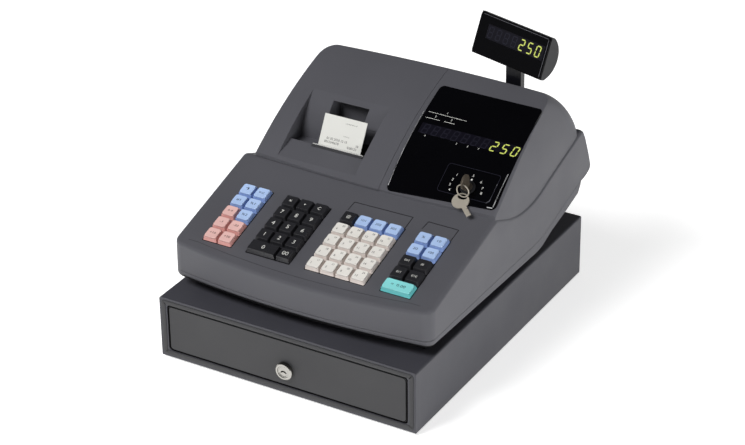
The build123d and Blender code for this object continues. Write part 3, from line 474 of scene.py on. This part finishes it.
def sheet_between(x0, x1, start, end, thick):
    """A sheet across the printer, its section a line between two (y, z) places in mm, its thickness inward."""
    run = Vector(end) - Vector(start)
    sheet = plate(x1 - x0, run.length)
    thicken(sheet, thick)
    middle = (Vector(start) + Vector(end)) / 2
    work_on(sheet)
    sheet.matrix_world = (Matrix.Translation(Vector(((x0 + x1) / 2, middle.x, middle.y)) * mm)
                          @ Matrix.Rotation(math.atan2(run.y, run.x), 4, "X"))
    bpy.ops.object.transform_apply(location=True, rotation=True, scale=True)
    return sheet


exit_left, exit_right = -96.8, -24.7
exit_floor = [sheet_between(exit_left, exit_right, (8.5, 203.0), (31.5, 203.0), 0.8),
              sheet_between(exit_left, exit_right, (31.6, 203.2), (34.2, 214.4), 0.8)]
settle(join(exit_floor), "paper_exit_floor", "cover", black_plastic)
cheek = sheet_between(-45.4, exit_right, (33.2, 213.6), (40.9, 231.6), 0.6)
settle(cheek, "paper_exit_cheek", "cover", cabinet_grey)

# The tear edge: a toothed strip along the top of the cutter blade, painted bright as its highlight
blade_low, blade_high = (Vector(corner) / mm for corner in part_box("cutter_blade"))
tear_length = blade_high.x - blade_low.x - 0.6
edge = plate(tear_length, 1.3)
bpy.ops.mesh.select_mode(type="EDGE")
bpy.ops.mesh.select_all(action="DESELECT")
shape = bmesh.from_edit_mesh(edge.data)
for side in shape.edges:
    side.select_set(all(corner.co.y > 0 for corner in side.verts))
bmesh.update_edit_mesh(edge.data)
teeth = 60
bpy.ops.mesh.subdivide(number_cuts=2 * teeth - 1)
pitch = tear_length / (2 * teeth)
choose_corners(edge, lambda place: place.y > 0 and round((place.x + tear_length / 2) / pitch) % 2 == 1)
bpy.ops.transform.translate(value=(0, -0.45 * mm, 0))
thicken(edge, 0.15)
blade_lean = math.atan2(1.8, 4.7)
blade_top = (Matrix.Translation(Vector(((blade_low.x + blade_high.x) / 2, blade_high.y, blade_high.z)) * mm)
             @ Matrix.Rotation(blade_lean, 4, "X") @ Matrix.Translation(Vector((0, -0.7, 0.02)) * mm))
settle(edge, "tear_edge", "cover", aluminium, blade_top)


cap_share = 0.72  # a capital's part of the type's full size


def figures(text, height, thick, x=0.0, y=0.0, wide=1.0):
    """Printed or moulded figures of a given height in mm, centred on a place of the local plane."""
    work_on(floor_mark)
    bpy.ops.object.text_add()
    letters = bpy.context.object
    letters.data.body = text
    letters.data.align_x = "CENTER"
    letters.data.align_y = "CENTER"
    letters.data.size = height / cap_share * mm
    letters.data.extrude = thick / 2 * mm
    letters.data.resolution_u = 3
    work_on(letters)
    bpy.ops.object.convert(target="MESH")
    letters = bpy.context.object
    letters.matrix_world = Matrix.Translation(Vector((x, y, thick / 2)) * mm) @ Matrix.Diagonal((wide, 1, 1, 1))
    bpy.ops.object.transform_apply(location=True, rotation=True, scale=True)
    bpy.ops.object.mode_set(mode="EDIT")
    bpy.ops.mesh.select_all(action="SELECT")
    bpy.ops.mesh.remove_doubles(threshold=0.000001)
    bpy.ops.mesh.normals_make_consistent(inside=False)
    bpy.ops.object.mode_set(mode="OBJECT")
    return letters


receipt_lean = math.atan2(35.0, 19.3)
receipt = (Matrix.Translation(Vector((-60.0, 6.0, 213.3)) * mm) @ Matrix.Rotation(receipt_lean, 4, "X")
           @ Matrix.Translation((0, 0, 0.16 * mm)))
printed = [figures(text, height, 0.04, x, y) for text, height, x, y in (
    ("01 02 2030 12 15", 3.0, -6.0, 10.4), ("10", 3.0, 23.5, 8.6), ("0012345678", 3.0, -12.6, 5.8),
    ("0.00123", 3.0, 17.0, 4.4), ("1 23 45 67 89 01 23", 1.5, 9.0, 33.0), ("12 34 5 6 78", 1.2, 6.0, 17.0))]
settle(join(printed), "receipt_print", "cabinet", ink_grey, receipt)

# ---------------------------------------------------------------------------
# Cashier display: smoked acrylic window over the digit module. The window is
# one curved moulding; digits, figures and the mode field show through or on it.
# ---------------------------------------------------------------------------
black_gloss = finish("black_gloss", tone(5, 5, 7), 0.1, grain=60.0, relief=0.0, cloud=0.1, wear_and_highlight=0.15, rim=0.5,
                     gloss=0.12)
display_module = finish("display_module", tone(15, 14, 22), 0.35, grain=300.0, relief=0.0, wear_and_highlight=0.0, gloss=0.2)
ghost_digit = finish("ghost_digit", tone(34, 34, 44), 0.4, grain=300.0, relief=0.0, wear_and_highlight=0.0, gloss=0.2)
rim_highlight = finish("rim_highlight", tone(190, 190, 192), 0.25, grain=300.0, relief=0.0, wear_and_highlight=0.0)
ink_white = finish("ink_white", tone(215, 215, 210), 0.6, grain=1500.0, relief=0.00002, wear_and_highlight=0.0)
lit_digit = finish("lit_digit", tone(60, 70, 10), 0.4, grain=300.0, relief=0.0, wear_and_highlight=0.0)
glowing = lit_digit.node_tree.nodes["Principled BSDF"].inputs
glowing["Emission Color"].default_value = tone(220, 230, 118)
glowing["Emission Strength"].default_value = 0.85
dress("display_window", black_gloss)
dress("operator_display", display_module)

face_radius, face_middle = 474.0, 263.7
face_centre = Vector((0.0, face_middle, -173.8))
face_start = math.asin(face_middle / face_radius)


def up_face(y):
    """Distance up the curved face from its line at y = 0."""
    return face_radius * (face_start - math.asin((face_middle - y) / face_radius))


def wrap(piece, lift):
    """Bends a flat piece onto the window: x stays, y runs up the face, z stands off the glass."""
    glass = 0.5
    for corner in piece.data.vertices:
        place = corner.co / mm
        angle = face_start - place.y / face_radius
        radius = face_radius + glass + lift + place.z
        corner.co = Vector((place.x, face_centre.y - radius * math.sin(angle),
                            face_centre.z + radius * math.cos(angle))) * mm
    return piece


def moved(piece, x, y):
    """The piece moved over its local plane."""
    work_on(piece)
    piece.matrix_world = Matrix.Translation(Vector((x, y, 0)) * mm)
    bpy.ops.object.transform_apply(location=True, rotation=True, scale=True)
    return piece


def digit_bar(length, breadth, thick):
    """One bar of a seven-bar digit, pointed at both ends."""
    bar = plate(length, breadth, breadth * 0.42, 1)
    thicken(bar, thick)
    return bar


bar_map = {"0": "abcdef", "2": "abged", "5": "afgcd", "8": "abcdefg"}
reading = "250"


def digit(character, height, x, y, breadth, thick, slant=7.0):
    """A seven-bar digit built from copies of one bar."""
    width = height * 0.5
    lean = math.tan(math.radians(slant))
    spots = {"a": (0, 0.5, 0), "g": (0, 0, 0), "d": (0, -0.5, 0), "b": (0.5, 0.25, 1), "c": (0.5, -0.25, 1),
             "f": (-0.5, 0.25, 1), "e": (-0.5, -0.25, 1)}
    bars = []
    for spot in bar_map[character]:
        right, rise, upright = spots[spot]
        bar = digit_bar((height / 2 if upright else width) - breadth * 0.55, breadth, thick)
        middle = Vector((x + right * width + rise * height * lean, y + rise * height, 0))
        bar.matrix_world = (Matrix.Translation(middle * mm)
                            @ Matrix.Rotation(math.radians(90 - slant) if upright else 0, 4, "Z"))
        work_on(bar)
        bpy.ops.object.transform_apply(location=True, rotation=True, scale=True)
        bars.append(bar)
    return join(bars)


module_field = plate(139.0, 15.6, 0.6, 2)
thicken(module_field, 0.06)
module_field = wrap(moved(module_field, 102.0, up_face(48.2)), 0.0)
settle(module_field, "digit_field", "cabinet", display_module)
digit_line, digit_height = up_face(47.0), 13.6
ghosts = [digit("8", digit_height, 40.6 + 13.8 * place, digit_line + 0.8, 1.1, 0.05) for place in range(7)]
settle(wrap(join(ghosts), 0.05), "unlit_digits", "cabinet", ghost_digit)
lit = [digit(character, digit_height, 136.2 + 14.2 * place, digit_line, 1.5, 0.08)
       for place, character in enumerate(reading)]
settle(wrap(join(lit), 0.05), "lit_digits", "cabinet", lit_digit)

# Fine printed rules and marks above and below the digits
marks = [strip(((left, up_face(y0)), (right, up_face(y1))), 0.55, 0.05) for left, y0, right, y1 in (
    (31.5, 71.5, 85.0, 70.6), (31.8, 62.8, 52.0, 62.8), (58.0, 62.8, 72.5, 62.8))]
marks += [figures(text, height, 0.05, x, up_face(y)) for text, height, x, y in (
    ("1", 3.0, 56.0, 75.0), ("2", 3.0, 44.0, 66.8), ("3", 3.0, 66.0, 66.8), ("4", 2.8, 44.0, 38.8),
    ("5", 2.8, 88.6, 38.8), ("6", 2.8, 104.0, 38.8), ("7", 2.8, 118.5, 38.8))]
settle(wrap(join(marks), 0.0), "window_marks", "cabinet", ink_white)



def divided(piece, cuts):
    """Every edge cut, so that a long piece can follow the curved window."""
    work_on(piece)
    bpy.ops.object.mode_set(mode="EDIT")
    bpy.ops.mesh.select_all(action="SELECT")
    bpy.ops.mesh.subdivide(number_cuts=cuts)
    bpy.ops.object.mode_set(mode="OBJECT")
    return piece


# Mode field: a raised frame round the switch, plain figures at its stops
mode_low, mode_high = up_face(-18.0), up_face(14.0)
mode_frame = divided(band(72.0, mode_high - mode_low + 1.5, 0.7, 0.2, corner=4.0), 5)
mode_frame = wrap(moved(mode_frame, 128.0, (mode_low + mode_high) / 2), 0.0)
settle(mode_frame, "mode_frame", "cabinet", ghost_digit)
stops = [figures(text, 3.6, 0.05, x, up_face(y)) for text, x, y in (
    ("1", 108.8, 3.0), ("2", 106.2, -3.0), ("3", 105.6, -9.0), ("4", 108.0, -14.4),
    ("5", 129.6, 6.6), ("6", 142.6, 1.8), ("7", 147.6, -4.4), ("8", 149.0, -10.0))]
stops.append(strip(((129.6, up_face(2.2)), (129.6, up_face(0.8))), 2.2, 0.05))
settle(wrap(join(stops), 0.0), "mode_stops", "cabinet", ink_white)

# A paler strip at the frame's lower right corner is a painted highlight; the same pale grey paints the highlights on
# the head window's bevels.
corner_highlight = finish("corner_highlight", tone(100, 100, 106), 0.4, grain=300.0, relief=0.0, wear_and_highlight=0.0)
corner = join([strip(((163.4, up_face(4.0)), (163.4, mode_low + 3.5)), 0.6, 0.05),
               strip(((163.2, mode_low + 3.0), (160.2, mode_low - 0.4)), 0.6, 0.05)])
settle(wrap(corner, 0.2), "mode_frame_corner_highlight", "cabinet", corner_highlight)

# Pale strips along the sides and the lower right corner of the window: painted highlights on its bevels
edges = [strip(((x0, up_face(y0)), (x1, up_face(y1))), breadth, 0.12) for x0, y0, x1, y1, breadth in (
    (170.6, 18.0, 170.9, -20.5, 0.9), (164.0, -22.4, 170.0, -22.0, 1.3),
    (26.9, 17.0, 29.3, -26.0, 0.8), (25.4, 70.0, 26.9, 17.5, 0.45))]
settle(wrap(divided(join(edges), 7), 0.2), "window_bevel_highlights", "cabinet", rim_highlight)

# ---------------------------------------------------------------------------
# Mode switch and its keys: nickel-plated pressed keys on a split ring.
# The switch barrel is black plastic with a turning nickel core.
# ---------------------------------------------------------------------------
nickel = finish("nickel", tone(196, 188, 174), 0.42, grain=300.0, relief=0.00003, cloud=0.15, wear_and_highlight=0.3, rim=0.3,
                metal=0.45)
bronze = finish("bronze", tone(92, 84, 74), 0.4, grain=300.0, relief=0.00003, cloud=0.2, wear_and_highlight=0.8, rim=0.5,
                metal=0.4)
dress("mode_switch", black_plastic)
dress("mode_key", bronze)
dress("key_ring", nickel)
dress("spare_key", nickel)

# ---------------------------------------------------------------------------
# Keyboard plate, main board and transformer inside the cabinet.
# The plate is black plastic, the board green laminate, the core plain steel.
# ---------------------------------------------------------------------------
board_green = finish("board_green", tone(30, 80, 50), 0.45, grain=500.0, relief=0.00002)
dress("keyboard_plate", black_plastic)
dress("main_board", board_green)
dress("power_transformer", runner_steel)

# ---------------------------------------------------------------------------
# Keys: two-part caps. A coloured cap has a square flange, sloping sides and a
# clear top plate; a black cap is one moulding with a dished top.
# ---------------------------------------------------------------------------
# The caps are coloured darker than their plates, partly as painted shade on their sloping sides; the plates are
# lighter partly for the printed label under them.
key_blue, key_pink, key_white, key_teal = (
    finish(name, tone(*colour), 0.35, grain=1200.0, relief=0.00003, wear_and_highlight=0.2, rim=0.4) for name, colour in (
        ("key_blue", (122, 146, 196)), ("key_pink", (205, 148, 142)), ("key_white", (206, 196, 190)),
        ("key_teal", (92, 178, 180))))
clear_blue, clear_pink, clear_white, clear_teal = (
    finish(name, tone(*colour), 0.22, grain=1200.0, relief=0.00001, wear_and_highlight=0.0, coat=0.5) for name, colour in (
        ("clear_blue", (164, 188, 226)), ("clear_pink", (220, 178, 172)), ("clear_white", (218, 215, 209)),
        ("clear_teal", (130, 208, 208))))
key_black = finish("key_black", tone(36, 36, 39), 0.3, grain=1200.0, relief=0.00003, wear_and_highlight=0.5, rim=0.5)
key_pitch_x, key_pitch_y, key_size = 20.75, 20.7, 19.3
middle_column, first_row = 6.5, 18.9


def key_spot(first, last, row):
    """The middle of a key on the deck, in mm, from its first and last column and its row."""
    return ((first + last) / 2 - middle_column) * key_pitch_x, first_row + row * key_pitch_y


def raise_face(height, width, depth, old_width, old_depth, level):
    """Pulls the selected face up and makes it narrower."""
    bpy.ops.mesh.extrude_region_move(TRANSFORM_OT_translate={"value": (0, 0, height * mm)})
    bpy.ops.transform.resize(value=(width / old_width, depth / old_depth, 1), center_override=(0, 0, level * mm))


def cap_blank():
    """The square skirt that every cap starts from, its stem below, its corners rounded, its upper face selected."""
    work_on(floor_mark)
    bpy.ops.mesh.primitive_cube_add(size=1, location=(0, 0, -1.7 * mm))
    cap = bpy.context.object
    cap.scale = (key_size * mm, key_size * mm, 4.6 * mm)
    bpy.ops.object.transform_apply(location=True, rotation=False, scale=True)
    bpy.ops.object.mode_set(mode="EDIT")
    choose_faces(cap, lambda place, normal: normal.z < -0.9)
    bpy.ops.mesh.inset(thickness=7.4 * mm)
    bpy.ops.mesh.extrude_region_move(TRANSFORM_OT_translate={"value": (0, 0, -9.0 * mm)})
    bpy.ops.mesh.select_mode(type="EDGE")
    bpy.ops.mesh.select_all(action="DESELECT")
    shape = bmesh.from_edit_mesh(cap.data)
    for edge in shape.edges:
        upright = abs((edge.verts[0].co - edge.verts[1].co).normalized().z) > 0.99
        if upright and abs(edge.verts[0].co.x) > 0.4 * key_size * mm:
            edge.select_set(True)
    bmesh.update_edit_mesh(cap.data)
    bpy.ops.mesh.bevel(offset=1.3 * mm, segments=3)
    choose_faces(cap, lambda place, normal: normal.z > 0.9)
    bpy.ops.mesh.inset(thickness=0.45 * mm)
    return cap


def close_cap(cap, extra, radius):
    """Widens a cap from its middle, closes modelling and softens it."""
    choose_corners(cap, lambda place: place.x > 0.3)
    bpy.ops.transform.translate(value=(extra * mm, 0, 0))
    bpy.ops.object.mode_set(mode="OBJECT")
    soften(cap, radius)
    return moved(cap, -extra / 2, 0)


def coloured_cap(extra):
    """The coloured lower part of a cap, its upper rim a little wider than the clear plate on it."""
    cap = cap_blank()
    raise_face(3.9, 17.3, 16.9, 18.4, 18.4, 4.5)
    bpy.ops.mesh.inset(thickness=0.45 * mm)
    bpy.ops.transform.translate(value=(0, 0, -0.2 * mm))
    return close_cap(cap, extra, 0.2)


def top_plate(extra):
    """The clear plate clipped onto a coloured cap, with the printed label under it."""
    cover = plate(16.7, 16.3, 2.6, 4)
    thicken(cover, 1.8)
    bpy.ops.object.mode_set(mode="EDIT")
    choose_faces(cover, lambda place, normal: normal.z > 0.9)
    bpy.ops.transform.resize(value=(0.955, 0.955, 1))
    bpy.ops.mesh.inset(thickness=0.8 * mm)
    bpy.ops.transform.translate(value=(0, 0, -0.12 * mm))
    cover = close_cap(cover, extra, 0.3)
    cover.matrix_world = Matrix.Translation((0, 0, 4.6 * mm))
    bpy.ops.object.transform_apply(location=True, rotation=True, scale=True)
    return cover


def dished_cap(extra):
    """A black cap whose top is dished for the finger."""
    cap = cap_blank()
    raise_face(4.9, 16.7, 16.3, 18.4, 18.4, 5.5)
    raise_face(0.9, 15.9, 15.5, 16.7, 16.3, 6.4)
    raise_face(-0.08, 15.1, 14.7, 15.9, 15.5, 6.32)
    raise_face(-0.27, 12.0, 11.6, 15.1, 14.7, 6.05)
    raise_face(-0.15, 8.6, 8.2, 12.0, 11.6, 5.9)
    raise_face(-0.05, 4.6, 4.2, 8.6, 8.2, 5.85)
    return close_cap(cap, extra, 0.3)


caps = {(kind, wide): make(wide * key_pitch_x) for wide in (0, 1)
        for kind, make in (("coloured", coloured_cap), ("plate", top_plate), ("dished", dished_cap))}


def key_copies(kind, places):
    """Copies of one cap or plate, each with its own mesh, at places (first column, last column, row) of the deck."""
    copies = []
    for first, last, row in places:
        copy = caps[(kind, last - first)].copy()
        copy.data = copy.data.copy()
        bpy.context.scene.collection.objects.link(copy)
        copies.append(moved(copy, *key_spot(first, last, row)))
    return join(copies)


def key_block(node, kind, places, material, marks, ink, cover=None, name=None):
    """One body of keys: its caps, the clear plates on coloured ones, and the figures printed on them."""
    name = name or node
    block = key_copies(kind, places)
    settle(block, name + "_caps", node, material, deck)
    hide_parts(node)
    if cover:
        settle(key_copies("plate", places), name + "_plates", node, cover, deck)
    printing = []
    for place, figure in zip(places, marks):
        x, y = key_spot(*place)
        for text, height, right, up, wide in figure:
            printing.append(figures(text, height, 0.16, x + right, y + up, wide))
    top = deck @ Matrix.Translation((0, 0, (6.17 if kind == "coloured" else 5.88) * mm))
    settle(join(printing), name + "_figures", node, ink, top)


def single(text, height=6.2, wide=1.0):
    """One figure in the middle of a cap."""
    return [(text, height, 0.0, 0.0, wide)]


# The caps stand in four wells; a black band round each block is painted shade in the gap
well_gap_shade = finish("well_gap_shade", tone(6, 6, 7), 0.8, grain=900.0, relief=0.0, wear_and_highlight=0.0)
gaps = []
for first, last in ((0, 1), (3, 5), (7, 10), (12, 13)):
    gap = band((last - first + 1) * key_pitch_x + 0.6, 5 * key_pitch_y + 0.6, 1.4, 0.06, corner=1.2)
    gaps.append(moved(gap, *key_spot(first, last, 2)))
settle(join(gaps), "key_well_gap_shade", "cabinet", well_gap_shade, deck)

# Number pad: nine keys in three rows, the double-width 0 and 00 below them, three signs above
number_pad = []
for number in range(1, 10):
    column, row = 3 + (number - 1) % 3, 1 + (number - 1) // 3
    number_pad.append(("key_" + str(number), (column, column, row), single(str(number))))
number_pad += [("key_0", (3, 4, 0), single("0")), ("key_00", (5, 5, 0), single("00")),
               ("key_multiply", (3, 3, 4), single("×")), ("key_decimal", (4, 4, 4), single("•")),
               ("key_clear", (5, 5, 4), single("C", 5.0))]
for node, place, mark in number_pad:
    key_block(node, "dished", [place], key_black, [mark], ink_white)

key_block("keys_left_blue", "coloured", [(0, 0, 4), (1, 1, 4), (0, 0, 3), (1, 1, 3), (1, 1, 2)], key_blue,
          [single("↑", 6.0), single("0123", 3.0, 0.9), single("#1", 3.4, 1.4), single("%1", 3.6, 1.4),
           single("%2", 3.6, 1.4)], ink_black, clear_blue)
key_block("keys_left_pink", "coloured", [(0, 0, 2), (0, 0, 1), (1, 1, 1), (0, 0, 0), (1, 1, 0)], key_pink,
          [single("0-9", 3.2, 1.2), single("-1", 3.4, 1.5), single("-20", 3.4, 1.2), single("+10", 3.4, 1.2),
           single("+20", 3.4, 1.2)], ink_black, clear_pink)

# Department keys carry two figures each, counted up the columns, 1 to 16 and 17 to 32
rows = 4
department_places = [(column, column, row) for column in range(7, 11) for row in range(rows)]
department_marks = [[(str(number), 3.2, -3.6, -2.6, 1.0), (str(number + 16), 2.8, 3.0, 3.6, 1.0)]
                    for number in range(1, len(department_places) + 1)]
key_block("keys_department", "coloured", department_places, key_white, department_marks, ink_black,
          clear_white)
key_block("keys_function_row", "coloured", [(column, column, 4) for column in range(8, 11)], key_blue,
          [single("101", 3.4, 1.2), single("202", 3.4, 1.2), single("303", 3.4, 1.2)], ink_black, clear_blue)
key_block("keys_right_blue", "coloured", [(12, 12, 4), (13, 13, 4), (12, 12, 3), (13, 13, 3)], key_blue,
          [single("%", 3.8, 1.2), single("10", 3.6, 1.3), single("20", 3.6, 1.3), single("100", 3.6, 1.1)],
          ink_black, clear_blue)
key_block("keys_right_black", "dished", [(12, 12, 2), (13, 13, 2), (12, 12, 1), (13, 13, 1)], key_black,
          [single("001", 3.2, 1.1), single("#", 3.8, 1.2), single("0/1", 3.4, 1.2), single("010", 3.4, 1.1)],
          ink_white)
key_block("key_total", "coloured", [(12, 13, 0)], key_teal, [single("=  0.00", 4.2, 1.2)], ink_black,
          clear_teal)

# The first key of the function row is a black one, moulded like the number keys
key_block("keys_function_row", "dished", [(7, 7, 4)], key_black, [single("@", 4.4)], ink_white,
          name="keys_function_row_black")
for cap in caps.values():
    bpy.data.objects.remove(cap)

# ---------------------------------------------------------------------------
# Customer display: a black gloss window in a grey D-section shell that turns
# on a lift-up post of black plastic.
# ---------------------------------------------------------------------------
shell_grey = finish("shell_grey", tone(20, 20, 23), 0.45, grain=1100.0, relief=0.00006, wear_and_highlight=0.2)
post_black = finish("post_black", tone(12, 12, 17), 0.45, grain=900.0, relief=0.00005, wear_and_highlight=0.2)
dress("display_pole", post_black)
dress("head_housing", shell_grey)
dress("head_window", black_gloss)
dress("head_display", display_module)
turn, tilt = math.radians(-16.0), math.radians(21.6)
across = Vector((math.cos(turn), math.sin(turn), 0))
behind = Vector((-math.sin(turn) * math.cos(tilt), math.cos(turn) * math.cos(tilt), -math.sin(tilt)))
upward = across.cross(behind)
head_place = Vector((102.9, 164.5, 328.0)) - behind * 9.9
head_front = Matrix.Translation(head_place * mm) @ Matrix((across, upward, -behind)).transposed().to_4x4()
head_field = plate(95.6, 18.6, 0.6, 2)
thicken(head_field, 0.05)
settle(moved(head_field, 5.6, 5.2), "head_digit_field", "display_head", display_module, head_front)
on_field = head_front @ Matrix.Translation((0, 0, 0.05 * mm))
head_height, head_line = 13.4, 5.0
head_ghosts = [digit("8", head_height, -35.8 + 13.2 * place, head_line, 1.1, 0.05) for place in range(4)]
settle(join(head_ghosts), "head_unlit_digits", "display_head", ghost_digit, on_field)
head_lit = [digit(character, head_height, 17.0 + 13.4 * place, head_line, 1.5, 0.08)
            for place, character in enumerate(reading)]
settle(join(head_lit), "head_lit_digits", "display_head", lit_digit, on_field)
# Pale strips along the top and right edges of the head window are painted highlights on its bevels.
head_edges = [strip(((-54.0, 24.4), (54.6, 24.4)), 0.5, 0.1), strip(((55.6, 23.0), (55.6, -24.0)), 0.6, 0.1)]
settle(join(head_edges), "head_window_bevel_highlights", "display_head", corner_highlight, head_front)

# ---------------------------------------------------------------------------
# Studio: a pale painted floor that fades into the backdrop, and the camera.
# Two soft boxes light the register, from the front left and from the right.
# ---------------------------------------------------------------------------
bpy.ops.mesh.primitive_plane_add(size=8.0, location=(0, 0, 0))
floor = bpy.context.object
floor.name = "studio_floor"
floor_paint = bpy.data.materials.new("floor_paint")
floor_paint.use_nodes = True
floor.data.materials.append(floor_paint)
tree = floor_paint.node_tree
shader = tree.nodes["Principled BSDF"]
shader.inputs["Base Color"].default_value = (0.85, 0.85, 0.85, 1)
shader.inputs["Roughness"].default_value = 0.9
shader.inputs["Specular IOR Level"].default_value = 0.0
shader.inputs["Emission Color"].default_value = (1, 1, 1, 1)


def seen_rays(tree):
    """1 where a camera, glossy or transmitted ray looks, 0 for the light itself."""
    path = tree.nodes.new("ShaderNodeLightPath")
    seen = path.outputs["Is Camera Ray"]
    for name in ("Is Glossy Ray", "Is Transmission Ray"):
        either = tree.nodes.new("ShaderNodeMath")
        either.operation = "MAXIMUM"
        tree.links.new(seen, either.inputs[0])
        tree.links.new(path.outputs[name], either.inputs[1])
        seen = either.outputs["Value"]
    return seen


glow = tree.nodes.new("ShaderNodeMath")
glow.operation = "MULTIPLY"
spot = tree.nodes.new("ShaderNodeTexCoord")
reach = tree.nodes.new("ShaderNodeVectorMath")
reach.operation = "LENGTH"
tree.links.new(spot.outputs["Object"], reach.inputs[0])
# The floor grows brighter to the lens from 0.8 m out, and is the backdrop's white from 2.2 m on
tree.links.new(ramp(tree, reach.outputs["Value"], 0.8, 2.2, 0.62, 1.0), glow.inputs[1])
tree.links.new(seen_rays(tree), glow.inputs[0])
tree.links.new(glow.outputs["Value"], shader.inputs["Emission Strength"])

azimuth, elevation, roll = (math.radians(angle) for angle in (30.662, 29.018, -0.694))
back = Vector((math.sin(azimuth) * math.cos(elevation), -math.cos(azimuth) * math.cos(elevation),
               math.sin(elevation)))
right = Vector((math.cos(azimuth), math.sin(azimuth), 0.0))
up = back.cross(right)
camera_right = right * math.cos(roll) + up * math.sin(roll)
camera_up = up * math.cos(roll) - right * math.sin(roll)
aim_point = Vector((0.0, -7.5, 3.0))
eye = (right * -4.18 + up * 112.948 + back * 3131.599 + aim_point) * mm
picture_width, focal_length, sensor = 745, 2464.69, 36.0  # the first two in pixels
camera_data = bpy.data.cameras.new("camera")
camera_data.sensor_width = sensor
camera_data.lens = focal_length / picture_width * sensor
camera_data.clip_end = 50.0
camera = bpy.data.objects.new("camera", camera_data)
bpy.context.scene.collection.objects.link(camera)
camera.matrix_world = Matrix.Translation(eye) @ Matrix((camera_right, camera_up, back)).transposed().to_4x4()
scene = bpy.context.scene
scene.camera = camera

scene.view_settings.view_transform = "Standard"
world = bpy.data.worlds.new("studio")
scene.world = world
world.use_nodes = True
sky = world.node_tree
light = sky.nodes["Background"]
light.inputs["Color"].default_value = (1, 1, 1, 1)
# The backdrop is white up to shoulder height and dark overhead, where the studio has no lamps
heading = sky.nodes.new("ShaderNodeTexCoord")
height = sky.nodes.new("ShaderNodeSeparateXYZ")
sky.links.new(heading.outputs["Generated"], height.inputs["Vector"])
ceiling = ramp(sky, height.outputs["Z"], 0.1, 0.5, 0.3, 0.03)
looks = sky.nodes.new("ShaderNodeLightPath")
mirrored = sky.nodes.new("ShaderNodeMix")
mirrored.inputs["A"].default_value = 0.16
sky.links.new(looks.outputs["Is Glossy Ray"], mirrored.inputs["Factor"])
sky.links.new(ceiling, mirrored.inputs["B"])
level = sky.nodes.new("ShaderNodeMix")
level.inputs["B"].default_value = 1.0
sky.links.new(looks.outputs["Is Camera Ray"], level.inputs["Factor"])
sky.links.new(mirrored.outputs["Result"], level.inputs["A"])
sky.links.new(level.outputs["Result"], light.inputs["Strength"])


def softbox(name, size, place, target, power):
    """One rectangular lamp behind a diffuser, aimed at a point."""
    data = bpy.data.lights.new(name, "AREA")
    data.shape = "RECTANGLE"
    data.size, data.size_y = size
    data.energy = power
    lamp = bpy.data.objects.new(name, data)
    lamp.visible_glossy = False
    scene.collection.objects.link(lamp)
    aim = (Vector(target) - Vector(place)).to_track_quat("-Z", "Y")
    lamp.matrix_world = Matrix.Translation(place) @ aim.to_matrix().to_4x4()


softbox("right_box", (1.4, 0.7), (2.2, -0.5, 0.35), (0, 0, 0.12), 34)
softbox("front_box", (1.6, 1.2), (-1.1, -1.8, 2.6), (0, 0, 0.15), 106)
